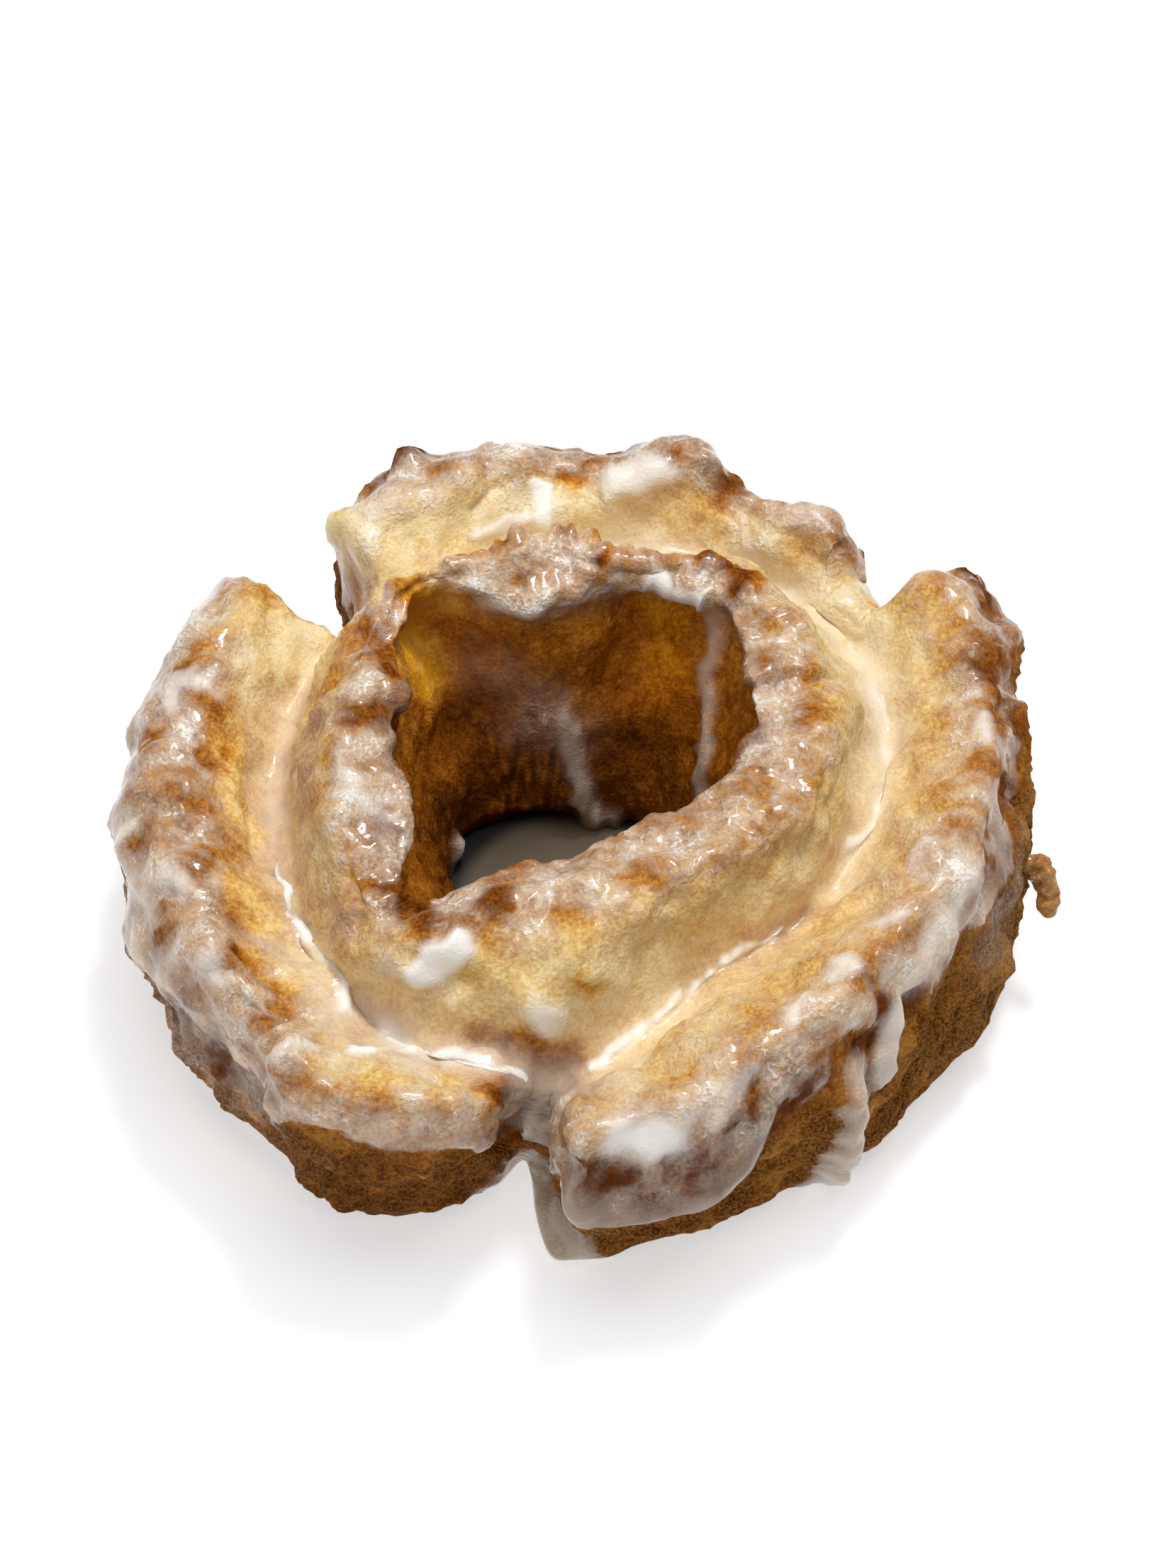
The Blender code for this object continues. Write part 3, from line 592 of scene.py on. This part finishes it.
def cover(points, mark):
    """How much of a mark lies at each point: exp(-(d/w)^edge), d from its path, w its half width."""
    angles, places = np.array(mark.path, float).T
    share = np.linspace(0, len(angles) - 1, 4 * (len(angles) - 1) + 1)
    knots = np.arange(len(angles))
    angles, places = np.interp(share, knots, angles), np.interp(share, knots, places)
    line = skin(angles, places)[np.arange(len(angles)), np.arange(len(angles))]
    nearest = np.full(points.shape[:2], np.inf)
    for start, end in zip(line[:-1], line[1:]):
        way = end - start
        reach = np.clip((points - start) @ way / (way @ way), 0.0, 1.0)
        apart = points - start - reach[..., None] * way
        nearest = np.minimum(nearest, (apart * apart).sum(-1))
    return np.exp(-((nearest / mark.width**2) ** (mark.edge / 2)))


def ledge_of(angle, place, points):
    """How far the skin stands on the high side of each ledge.

    It is a crisp step, jagged by short waves, that fades out away from its edge and towards its ends.
    """
    random = np.random.default_rng(SEED + 5)
    total = 0.0
    for ledge in LEDGES:
        off = ledge.side * (place - ledge.rail) + waves(points, LEDGE_JAGS, random)
        along_it = np.exp(-((turned(angle[:, None], ledge.angle) / ledge.half) ** 6))
        step = smooth_step(off, -0.06, 0.06) * np.exp(-np.maximum(off, 0.0) / 0.5)
        total = total + ledge.height * along_it * step
    return total


def folds_of(angle, place, points):
    """How far the skin stands on the high side of each fold.

    It is a crisp jagged step across the rails, with a narrow crevice below it, that fades out a few degrees
    away from its edge.
    """
    random = np.random.default_rng(SEED + 6)
    total = 0.0
    for fold in FOLDS:
        edge = fold.angle + fold.slant * (place - fold.first)
        off = fold.side * turned(angle[:, None], edge) + waves(points, FOLD_JAGS, random)
        step = smooth_step(off, -0.4, 0.4) * np.exp(-np.maximum(off, 0.0) / 5.0)
        crevice = 0.5 * np.exp(-(((off + 0.7) / 0.7) ** 2))
        total = total + fold.height * (step - crevice) * rows_between(place, fold.first, fold.last, 0.4)
    return total


def torn_face(angle, place):
    """1 on the near left petal's bare lower side, where the crumb is coarse."""
    round_it = np.exp(-((turned(angle[:, None], TORN_ANGLE) / TORN_HALF) ** 6))
    return round_it * rows_between(place, 0.4, 4.0, 0.5)


def combed(angle, place, points):
    """Upright stripes, about -1 to 1, low on the hole's far wall: waves that don't change with height."""
    stripes = waves(points * (1, 1, 0), STRIPES, np.random.default_rng(SEED + 3))
    round_it = np.exp(-((turned(angle[:, None], COMB_ANGLE) / COMB_HALF) ** 6))
    return stripes * (round_it * np.exp(-(((place - COMB_RAIL) / 0.45) ** 4)))


def fields_of(angle, place, points):
    """Browning, thin film, white glaze, amber, crumb and extra relief at every point of the skin, with some
    shade, light and highlights painted into them.

    Browning and film start from their curves across the rails. The film ends at the glaze's edge on the
    side. Clouds and flecks of random waves break both up, and then every mark adds its own share.
    """
    random = np.random.default_rng(SEED + 1)
    degrees = angle[:, None]
    clouds = waves(points, CLOUDS, random)
    flecks = waves(points, FLECKS, random)
    warped = points + np.stack([waves(points, WARP, random) for _ in range(3)], -1)
    scallops = waves(points * (1, 1, 0), SCALLOPS, random)

    edge = round_ring(GLAZE_EDGE, angle)[:, None] + scallops
    glazed = smooth_step(place, edge - 0.12, edge + 0.12)
    bead = np.exp(-(((place - edge - 0.22) / 0.24) ** 2))
    veil = np.exp(-((turned(degrees, VEIL_ANGLE) / VEIL_HALF_WIDTH) ** 4))
    veil = veil * rows_between(place, 1.0, 4.5, 0.8)
    outside = place < PETAL_CREST
    inside = smooth_step(place, 12.3, 13.2)
    on_side = rows_between(place, 0.5, 4.4, 0.8)
    crest = rows_between(place, 4.0, 7.2, 0.9) + rows_between(place, 9.2, 12.6, 0.7)

    in_groove = np.exp(-(((place - GROOVE_RAIL) / GROOVE_FILM_WIDTH) ** 2))
    film = curve_through(FILM_ACROSS, place) + GROOVE_FILM * in_groove
    film = film + (clouds + flecks) * (crest * 1.1 + 0.4) * (1.0 - inside)
    film = film * np.where(outside, glazed, 1.0) + VEIL_FILM * veil * (0.7 + clouds + flecks)
    bake = curve_through(BAKE_ACROSS, place) - 0.30 * clouds * crest + 0.12 * flecks
    bake = bake - 0.12 * combed(angle, place, points)
    ledge, torn = ledge_of(angle, place, points), torn_face(angle, place)
    folds = folds_of(angle, place, points)
    # Painted shade: a dark band just under the glaze's edge on the torn face.
    shade_under_edge = np.exp(-(((edge - place - 0.2) / 0.3) ** 2))
    # Browning rises on the ledges' high side as brown crust, and in the folds' crevices as painted shade.
    bake = bake + 0.35 * ledge * (place > 5.0) + 0.6 * np.maximum(-folds, 0.0)
    bake = bake - 1.2 * clouds * on_side + torn * (0.25 - 2.0 * flecks + 0.5 * shade_under_edge)
    white = bead * (0.05 + 0.7 * clouds) * outside
    amber = 0.6 * inside * (place < 15.5) + 0.35 * torn
    crumb = on_side * (1.0 - glazed) + inside * 0.35
    smooth = np.exp(-(((place - GROOVE_RAIL) / 0.6) ** 2)) + np.zeros_like(film)
    rise = np.zeros_like(film)
    for mark in MARKS:
        share = cover(warped, mark)
        white = np.maximum(white, mark.white * share)
        film, bake, amber, smooth, rise = (
            total + amount * share
            for total, amount in zip((film, bake, amber, smooth, rise), mark[5:])
        )
    smooth = np.maximum(smooth, smooth_step(white, 0.3, 0.8))
    fields = {"bake": bake, "film": film, "white": white, "amber": amber, "crumb": crumb, "smooth": smooth}
    extra = rise + ledge + folds + torn * waves(points, TORN_CRUMB, random)
    extra = extra + GLAZE_THICKNESS * smooth_step(white, 0.2, 0.8) + GLAZE_THICKNESS * glazed * outside
    return {name: np.clip(values, 0.0, 1.0) for name, values in fields.items()}, extra


def fine_relief(angle, place, points, fields):
    """The solid's relief, plus pebbles and grit, weaker on smooth glaze and stronger on bare crumb.

    Knobs of longer waves roughen the side. The slab's crest is torn into teeth, the size of a wave that
    doesn't change with height, and the far wall is combed.
    """
    random = np.random.default_rng(SEED + 2)
    above_sole = rows_between(place, 0.8, 15.4, 0.8)
    thick = smooth_step(fields["white"], 0.3, 0.7)
    rough = above_sole * (1.0 - 0.75 * fields["smooth"]) * (1.0 - 0.5 * thick)
    rise = solid_relief(angle, place, points) + waves(points, PEBBLES, random) * rough
    rise = rise + waves(points, GRIT, random) * rough * (1.0 + 1.5 * fields["crumb"])
    teeth = TEETH_HEIGHT * np.abs(waves(points * (1, 1, 0), TEETH, random)) - 0.15
    round_it = np.exp(-((turned(angle[:, None], TEETH_ANGLE) / TEETH_HALF) ** 6))
    jagged = round_it * np.exp(-(((place - TEETH_RAIL) / 0.28) ** 2))
    knobs = waves(points, KNOBS, random) * rows_between(place, 0.9, 3.8, 0.8)
    return rise + knobs + jagged * teeth + 0.15 * combed(angle, place, points)


# ---------------------------------------------------------------- meshes


def grid_mesh(name, points, fields=()):
    """A closed mesh of four-sided faces over a grid that closes both ways, with each field's values."""
    columns, rows = points.shape[:2]
    column, row = np.meshgrid(np.arange(columns), np.arange(rows), indexing="ij")
    next_column, next_row = (column + 1) % columns, (row + 1) % rows
    corners = [(column, row), (next_column, row), (next_column, next_row), (column, next_row)]
    faces = np.stack([c * rows + r for c, r in corners], -1).reshape(-1, 4)
    mesh = bpy.data.meshes.new(name)
    mesh.vertices.add(columns * rows)
    mesh.vertices.foreach_set("co", (points * MM).ravel())
    mesh.loops.add(faces.size)
    mesh.loops.foreach_set("vertex_index", faces.ravel())
    mesh.polygons.add(len(faces))
    mesh.polygons.foreach_set("loop_start", np.arange(len(faces)) * 4)
    mesh.update()
    mesh.validate()
    mesh.shade_smooth()
    for field in fields:
        layer = mesh.attributes.new(field, "FLOAT", "POINT")
        layer.data.foreach_set("value", fields[field].ravel())
    return mesh


def show(name, mesh, material):
    """A new object at the origin, with this mesh and finish."""
    thing = bpy.data.objects.new(name, mesh)
    mesh.materials.append(material)
    bpy.context.scene.collection.objects.link(thing)
    return thing


def dressed_ring(finish):
    """The whole ring: the smooth skin, moved out along its normals by its relief, on the frame's origin."""
    angle, place = grid_of(*FINE_GRID)
    points = skin(angle, place)
    fields, extra = fields_of(angle, place, points)
    rise = fine_relief(angle, place, points, fields) + extra
    points = points + normals_of(points) * rise[..., None]
    points[..., 2] = np.maximum(points[..., 2], 0.0)
    ring = show("fried_ring", grid_mesh("fried_ring", points + SHIFT, fields), finish)
    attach(ring, "root")
    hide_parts("doughnut")


def ball_mesh(name, points, fields):
    """A closed mesh over a grid of points, whose first and last rows are its poles."""
    columns, rows = points.shape[:2]
    column, row = np.meshgrid(np.arange(columns), np.arange(rows - 1), indexing="ij")
    next_column = (column + 1) % columns
    glint_patches, beside = column * rows + row, next_column * rows + row
    faces = np.stack([glint_patches, beside, beside + 1, glint_patches + 1], -1)
    mesh = bpy.data.meshes.new(name)
    mesh.from_pydata((points * MM).reshape(-1, 3).tolist(), [], faces.reshape(-1, 4).tolist())
    for field, value in fields.items():
        layer = mesh.attributes.new(field, "FLOAT", "POINT")
        layer.data.foreach_set("value", np.full(columns * rows, value))
    solid = bmesh.new()
    solid.from_mesh(mesh)
    bmesh.ops.remove_doubles(solid, verts=solid.verts, dist=1e-7)
    bmesh.ops.recalc_face_normals(solid, faces=solid.faces)
    solid.to_mesh(mesh)
    solid.free()
    mesh.shade_smooth()
    return mesh


def hanging_crumb(finish):
    """A crumb stuck to the right side by its top.

    It is a bent rod of half width CRUMB_WIDTH, with round ends, lumpy by random waves. At each place along
    its middle line, a circle is turned about the line and moved out along its own radius.
    """
    around = np.linspace(0.0, 2 * np.pi, 72, endpoint=False)[:, None]
    down = np.linspace(0.0, 1.0, 97)[None, :]
    middle = np.stack([np.interp(down, CRUMB_STOPS, column) for column in np.array(CRUMB_PATH).T], -1)
    ahead = np.gradient(middle, axis=1)
    first = np.cross(ahead, CRUMB_SIDE)
    second = np.cross(ahead, first)
    first, second = (way / np.linalg.norm(way, axis=-1, keepdims=True) for way in (first, second))
    out = first * np.cos(around)[..., None] + second * np.sin(around)[..., None]
    width = CRUMB_WIDTH * (1.0 - np.abs(2.0 * down - 1.0) ** 5) ** 0.5 + 0.0 * around
    points = middle + out * width[..., None]
    bumps = waves(points, CRUMB_LUMPS, np.random.default_rng(SEED + 4)) * np.sin(np.pi * down)
    points = points + out * bumps[..., None]
    look = {"bake": 0.55, "film": 0.1, "white": 0.0, "amber": 0.2, "crumb": 1.0, "smooth": 0.0}
    crumb = show("hanging_crumb", ball_mesh("hanging_crumb", points + SHIFT, look), finish)
    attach(crumb, "root")


# ---------------------------------------------------------------- finishes


def feed(tree, socket, value):
    """Feeds a socket from another socket, or sets the value on the socket itself."""
    if isinstance(value, bpy.types.NodeSocket):
        tree.links.new(value, socket)
    else:
        socket.default_value = value


def node(tree, kind, feeds=(), **settings):
    """A new node with these settings, and its inputs fed by name or number."""
    made = tree.nodes.new("ShaderNode" + kind)
    for name, value in settings.items():
        setattr(made, name, value)
    for key, value in dict(feeds).items():
        feed(tree, made.inputs[key], value)
    return made


def sums(tree, operation, *values, clamp=False):
    """The result of one step of arithmetic on values or sockets."""
    made = node(tree, "Math", operation=operation, use_clamp=clamp)
    for socket, value in zip(made.inputs, values):
        feed(tree, socket, value)
    return made.outputs[0]


def blended(tree, share, first, second):
    """A colour between two others, by this share."""
    return node(tree, "Mix", {0: share, 6: first, 7: second}, data_type="RGBA").outputs[2]


def grain(tree, size, detail=2.0, rough=0.5):
    """Random mottling whose features are this many millimetres across, from 0 to 1."""
    place = node(tree, "TexCoord").outputs["Object"]
    feeds = {"Vector": place, "Scale": 1.0 / (size * MM), "Detail": detail, "Roughness": rough}
    return node(tree, "TexNoise", feeds).outputs[0]


def band(tree, value, low, high, to_low=0.0, to_high=1.0):
    """A smooth step from one value to another as the input goes from low to high."""
    feeds = {0: value, 1: low, 2: high, 3: to_low, 4: to_high}
    return node(tree, "MapRange", feeds, interpolation_type="SMOOTHSTEP").outputs[0]


def ramp(tree, share, stops):
    """A colour read off a row of (place, colour) stops."""
    made = node(tree, "ValToRGB", {0: share})
    line = made.color_ramp
    while len(line.elements) < len(stops):
        line.elements.new(0.5)
    for element, (at, colour) in zip(line.elements, stops):
        element.position = at
        element.color = (*colour, 1.0)
    return made.outputs[0]


def new_group(name, takes, gives):
    """An empty node group with named inputs and outputs, and its two end nodes."""
    group = bpy.data.node_groups.new(name, "ShaderNodeTree")
    for label, kind, default in takes:
        socket = group.interface.new_socket(label, in_out="INPUT", socket_type=kind)
        socket.default_value = default
    for label, kind in gives:
        group.interface.new_socket(label, in_out="OUTPUT", socket_type=kind)
    return group, group.nodes.new("NodeGroupInput").outputs, group.nodes.new("NodeGroupOutput").inputs


CREAM = (0.85, 0.70, 0.39)
GOLD = (0.70, 0.45, 0.14)
HONEY = (0.46, 0.20, 0.040)
BROWN = (0.24, 0.075, 0.008)
DARK = (0.10, 0.022, 0.001)
SPECKLE = (0.52, 0.25, 0.04)
AMBER = (0.92, 0.45, 0.02)
DARK_AMBER = (0.50, 0.15, 0.002)
THIN_GLAZE = (0.75, 0.64, 0.51)
# White glaze, and the colour of the painted glints.
WHITE_GLAZE_AND_GLINTS = (0.94, 0.91, 0.85)
# Painted shade on the floor: a dark disc in the hole, and black under the ring's body, where the floor lies
# in shade.
HOLE_SHADE = (0.10, 0.075, 0.045)
HOLE_SHADE_RADIUS = 20.0
SHADOW_UNDER_RING_RADIUS = 9.8
HOLE_MIDDLE = (-1.2, 1.0)
GRIT_HEIGHT = 0.22
WET_HEIGHT = 0.12
SOFT_DEPTH = 1.2

NUMBER, COLOUR = "NodeSocketFloat", "NodeSocketColor"


def crust_group():
    """Fried crust: from cream crumb through gold and honey to dark brown, with grain where it is bare."""
    group, given, result = new_group(
        "fried crust",
        (("Bake", NUMBER, 0.6), ("Amber", NUMBER, 0.0), ("Crumb", NUMBER, 0.0)),
        (("Color", COLOUR), ("Height", NUMBER)),
    )
    blotches = band(group, grain(group, 2.4, 4.0, 0.6), 0.3, 0.7, -0.10, 0.10)
    mottle = band(group, grain(group, 0.8, 3.0, 0.6), 0.3, 0.7, -0.07, 0.07)
    specks = band(group, grain(group, 0.36, 2.0, 0.6), 0.3, 0.7, -0.10, 0.10)
    fine = sums(group, "ADD", mottle, specks)
    bake = sums(group, "ADD", sums(group, "ADD", given["Bake"], blotches), fine, clamp=True)
    stops = ((0.0, CREAM), (0.26, GOLD), (0.52, HONEY), (0.76, BROWN), (1.0, DARK))
    crumbs = grain(group, 0.3, 3.0, 0.7)
    bright = sums(group, "MULTIPLY", band(group, crumbs, 0.40, 0.66), given["Crumb"])
    colour = blended(group, sums(group, "MULTIPLY", bright, 0.6), ramp(group, bake, stops), (*SPECKLE, 1.0))
    soft = band(group, grain(group, 2.2, 3.0), 0.3, 0.6, 0.75, 1.0)
    soaked = sums(group, "MULTIPLY", given["Amber"], soft)
    syrup = ramp(group, bake, ((0.2, AMBER), (0.6, DARK_AMBER), (1.0, DARK)))
    feed(group, result["Color"], blended(group, soaked, colour, syrup))
    raised = sums(group, "MULTIPLY", crumbs, sums(group, "MULTIPLY", given["Crumb"], 1.5))
    feed(group, result["Height"], sums(group, "MULTIPLY_ADD", specks, 0.6, raised))
    return group


def glaze_group():
    """Sugar glaze over a colour: a film, mottled but for smooth runs, white where thick, with painted
    glints as thin white squiggles in patches of the wet film.
    """
    group, given, result = new_group(
        "sugar glaze",
        (("Color", COLOUR, (*HONEY, 1.0)), ("Film", NUMBER, 0.5), ("White", NUMBER, 0.0),
         ("Smooth", NUMBER, 0.0)),
        (("Color", COLOUR), ("Gloss", NUMBER), ("Height", NUMBER)),
    )
    patchy = band(group, grain(group, 2.6, 4.0, 0.6), 0.3, 0.7, -0.4, 0.4)
    dusty = band(group, grain(group, 0.4, 2.0, 0.6), 0.3, 0.7, -0.35, 0.35)
    rough = sums(group, "MULTIPLY_ADD", given["Smooth"], -0.9, 1.0, clamp=True)
    uneven = sums(group, "MULTIPLY", sums(group, "ADD", patchy, dusty), rough)
    change = sums(group, "MULTIPLY", given["Film"], uneven)
    film = sums(group, "MULTIPLY_ADD", change, 1.0, given["Film"], clamp=True)
    thin = blended(group, film, given["Color"], (*THIN_GLAZE, 1.0))
    off_middle = sums(group, "ABSOLUTE", sums(group, "SUBTRACT", grain(group, 1.5, 2.0, 0.5), 0.5))
    wet = sums(group, "MULTIPLY", rough, band(group, film, 0.12, 0.4))
    ridges = sums(group, "MULTIPLY", band(group, off_middle, 0.0, 0.10, 1.0, 0.0), wet)
    # Painted glints: thin white squiggles, in patches of the wet, rough film, drawn into the colour.
    glint_patches = sums(group, "MULTIPLY", band(group, grain(group, 2.1, 2.0), 0.5, 0.62), wet)
    painted_glints = sums(group, "MULTIPLY", band(group, off_middle, 0.0, 0.024, 0.75, 0.0), glint_patches)
    white = band(group, sums(group, "MULTIPLY_ADD", uneven, 0.14, given["White"]), 0.12, 0.95)
    milky = band(group, film, 0.62, 1.1, 0.0, 0.7)
    thick = sums(group, "MAXIMUM", white, milky)
    opaque = sums(group, "MAXIMUM", thick, painted_glints)
    feed(group, result["Color"], blended(group, opaque, thin, (*WHITE_GLAZE_AND_GLINTS, 1.0)))
    feed(group, result["Gloss"], sums(group, "MAXIMUM", white, band(group, film, 0.0, 0.2)))
    bumps = sums(group, "MULTIPLY_ADD", ridges, 0.5, thick)
    feed(group, result["Height"], sums(group, "MULTIPLY_ADD", uneven, 0.4, bumps))
    return group


GROUPS = {}


def placed(tree, name, feeds):
    """One of the shared groups, made once, with its inputs fed by name."""
    makers = {"crust": crust_group, "glaze": glaze_group}
    if name not in GROUPS:
        GROUPS[name] = makers[name]()
    made = tree.nodes.new("ShaderNodeGroup")
    made.node_tree = GROUPS[name]
    for key, value in feeds.items():
        feed(tree, made.inputs[key], value)
    return made.outputs


def field(tree, name):
    """The value that the mesh carries under this name."""
    return node(tree, "Attribute", attribute_name=name).outputs["Fac"]


def new_material(name):
    """A material with its node tree and its shader, ready to be fed."""
    material = bpy.data.materials.new(name)
    material.use_nodes = True
    return material, material.node_tree, material.node_tree.nodes["Principled BSDF"].inputs


def glazed_cake():
    """The ring's finish: crust, then glaze over it, each by the fields that the mesh carries."""
    material, tree, shader = new_material("glazed cake")
    crust = placed(tree, "crust", {name: field(tree, name.lower()) for name in ("Bake", "Amber", "Crumb")})
    coating = {name: field(tree, name.lower()) for name in ("Film", "White", "Smooth")}
    glaze = placed(tree, "glaze", {"Color": crust["Color"], **coating})
    feed(tree, shader["Base Color"], glaze["Color"])
    feed(tree, shader["Roughness"], band(tree, glaze["Gloss"], 0.0, 1.0, 0.62, 0.30))
    feed(tree, shader["Coat Weight"], band(tree, glaze["Gloss"], 0.1, 1.0, 0.0, 0.75))
    shader["Specular IOR Level"].default_value = 0.04
    shader["Coat Roughness"].default_value = 0.05
    shader["Subsurface Weight"].default_value = 0.15
    shader["Subsurface Radius"].default_value = (1.0, 0.45, 0.15)
    shader["Subsurface Scale"].default_value = SOFT_DEPTH * MM
    grit = node(tree, "Bump", {"Strength": 1.0, "Distance": GRIT_HEIGHT * MM, "Height": crust["Height"]})
    over = {"Distance": WET_HEIGHT * MM, "Height": glaze["Height"], "Normal": grit.outputs[0]}
    wet = node(tree, "Bump", {"Strength": 1.0, **over})
    feed(tree, shader["Normal"], wet.outputs[0])
    return material


def plain_floor():
    """A pale, matt, faintly mottled tabletop that glows evenly, with painted shade where the doughnut
    stands: a dark disc in its hole, and black under its body where the slit under the far wall shows.
    """
    material, tree, shader = new_material("pale floor")
    tint = band(tree, grain(tree, 60.0), 0.3, 0.7)
    plain = blended(tree, tint, (0.60, 0.60, 0.60, 1.0), (0.62, 0.62, 0.62, 1.0))
    middle = ((SHIFT[0] + HOLE_MIDDLE[0]) * MM, (SHIFT[1] + HOLE_MIDDLE[1]) * MM, 0.0)
    from_middle = node(tree, "VectorMath", {0: node(tree, "TexCoord").outputs["Object"], 1: middle},
                       operation="SUBTRACT")
    length = node(tree, "VectorMath", {0: from_middle.outputs["Vector"]}, operation="LENGTH")
    apart = length.outputs["Value"]
    # Painted shade: the dark disc in the hole, going black under the ring's body, then plain floor beyond.
    unshaded = band(tree, apart, HOLE_SHADE_RADIUS * MM, (HOLE_SHADE_RADIUS + 4.0) * MM)
    shadow_under_ring = band(tree, apart, SHADOW_UNDER_RING_RADIUS * MM, (SHADOW_UNDER_RING_RADIUS + 2.2) * MM)
    painted_shade = blended(tree, shadow_under_ring, (*HOLE_SHADE, 1.0), (0.0, 0.0, 0.0, 1.0))
    feed(tree, shader["Base Color"], blended(tree, unshaded, painted_shade, plain))
    # The floor glows evenly, but not where its shade is painted.
    feed(tree, shader["Emission Color"], blended(tree, unshaded, (0.0, 0.0, 0.0, 1.0), (1.0, 1.0, 1.0, 1.0)))
    shader["Roughness"].default_value = 0.8
    shader["Emission Strength"].default_value = 0.52
    return material


# ---------------------------------------------------------------- camera, light and floor

# The camera looks down along +Y at a point 12 mm up in the middle of the ring.
CAMERA_ELEVATION = 54.0
CAMERA_DISTANCE = 250.0
AIM_HEIGHT = 12.0
LENS = 59.65
SENSOR = 36.0
TILT_UP = 1.313
TURN_LEFT = -0.195


def stand_camera():
    """A level camera on the ring's near side, turned a little so that the ring sits below the middle."""
    camera = bpy.data.cameras.new("camera")
    camera.sensor_width = SENSOR
    camera.lens = LENS
    camera.clip_start = 10 * MM
    stand = bpy.data.objects.new("camera", camera)
    rise = np.radians(CAMERA_ELEVATION)
    back = Vector((0.0, -np.cos(rise), np.sin(rise)))
    aim = Vector(SHIFT + (0.0, 0.0, AIM_HEIGHT)) * MM
    tilt = Matrix.Rotation(np.radians(90.0 - CAMERA_ELEVATION + TILT_UP), 4, "X")
    turn = Matrix.Rotation(np.radians(TURN_LEFT), 4, "Y")
    stand.matrix_world = Matrix.Translation(aim + back * CAMERA_DISTANCE * MM) @ tilt @ turn
    bpy.context.scene.collection.objects.link(stand)
    bpy.context.scene.camera = stand


def hang_light(name, place, size, power):
    """A square soft light, in metres and watts, turned to the middle of the ring."""
    light = bpy.data.lights.new(name, "AREA")
    light.size = size
    light.energy = power
    lamp = bpy.data.objects.new(name, light)
    lamp.location = place
    lamp.rotation_euler = (-Vector(place)).to_track_quat("-Z", "Y").to_euler()
    bpy.context.scene.collection.objects.link(lamp)


def light_studio():
    """One broad light overhead, a small one behind for glints, a weak fill in front, and a pale sky."""
    hang_light("overhead", (0.04, 0.04, 0.62), 0.42, 2.12)
    hang_light("glints", (0.08, 0.16, 0.48), 0.09, 1.2)
    hang_light("fill", (-0.30, -0.38, 0.35), 0.5, 0.8)
    world = bpy.data.worlds.new("pale sky")
    bpy.context.scene.world = world
    world.use_nodes = True
    sky = world.node_tree.nodes["Background"].inputs
    sky["Color"].default_value = (1.0, 1.0, 1.0, 1.0)
    sky["Strength"].default_value = 0.16


def lay_floor():
    """A wide flat floor under the sole."""
    half = 2.0
    mesh = bpy.data.meshes.new("floor")
    corners = [(-half, -half, 0.0), (half, -half, 0.0), (half, half, 0.0), (-half, half, 0.0)]
    mesh.from_pydata(corners, [], [(0, 1, 2, 3)])
    floor = show("floor", mesh, plain_floor())


def main():
    """The doughnut, its crumb, and the floor, light and camera round them."""
    finish = glazed_cake()
    dressed_ring(finish)
    hanging_crumb(finish)
    lay_floor()
    light_studio()
    stand_camera()
    bpy.context.scene.view_settings.view_transform = "Standard"


main()
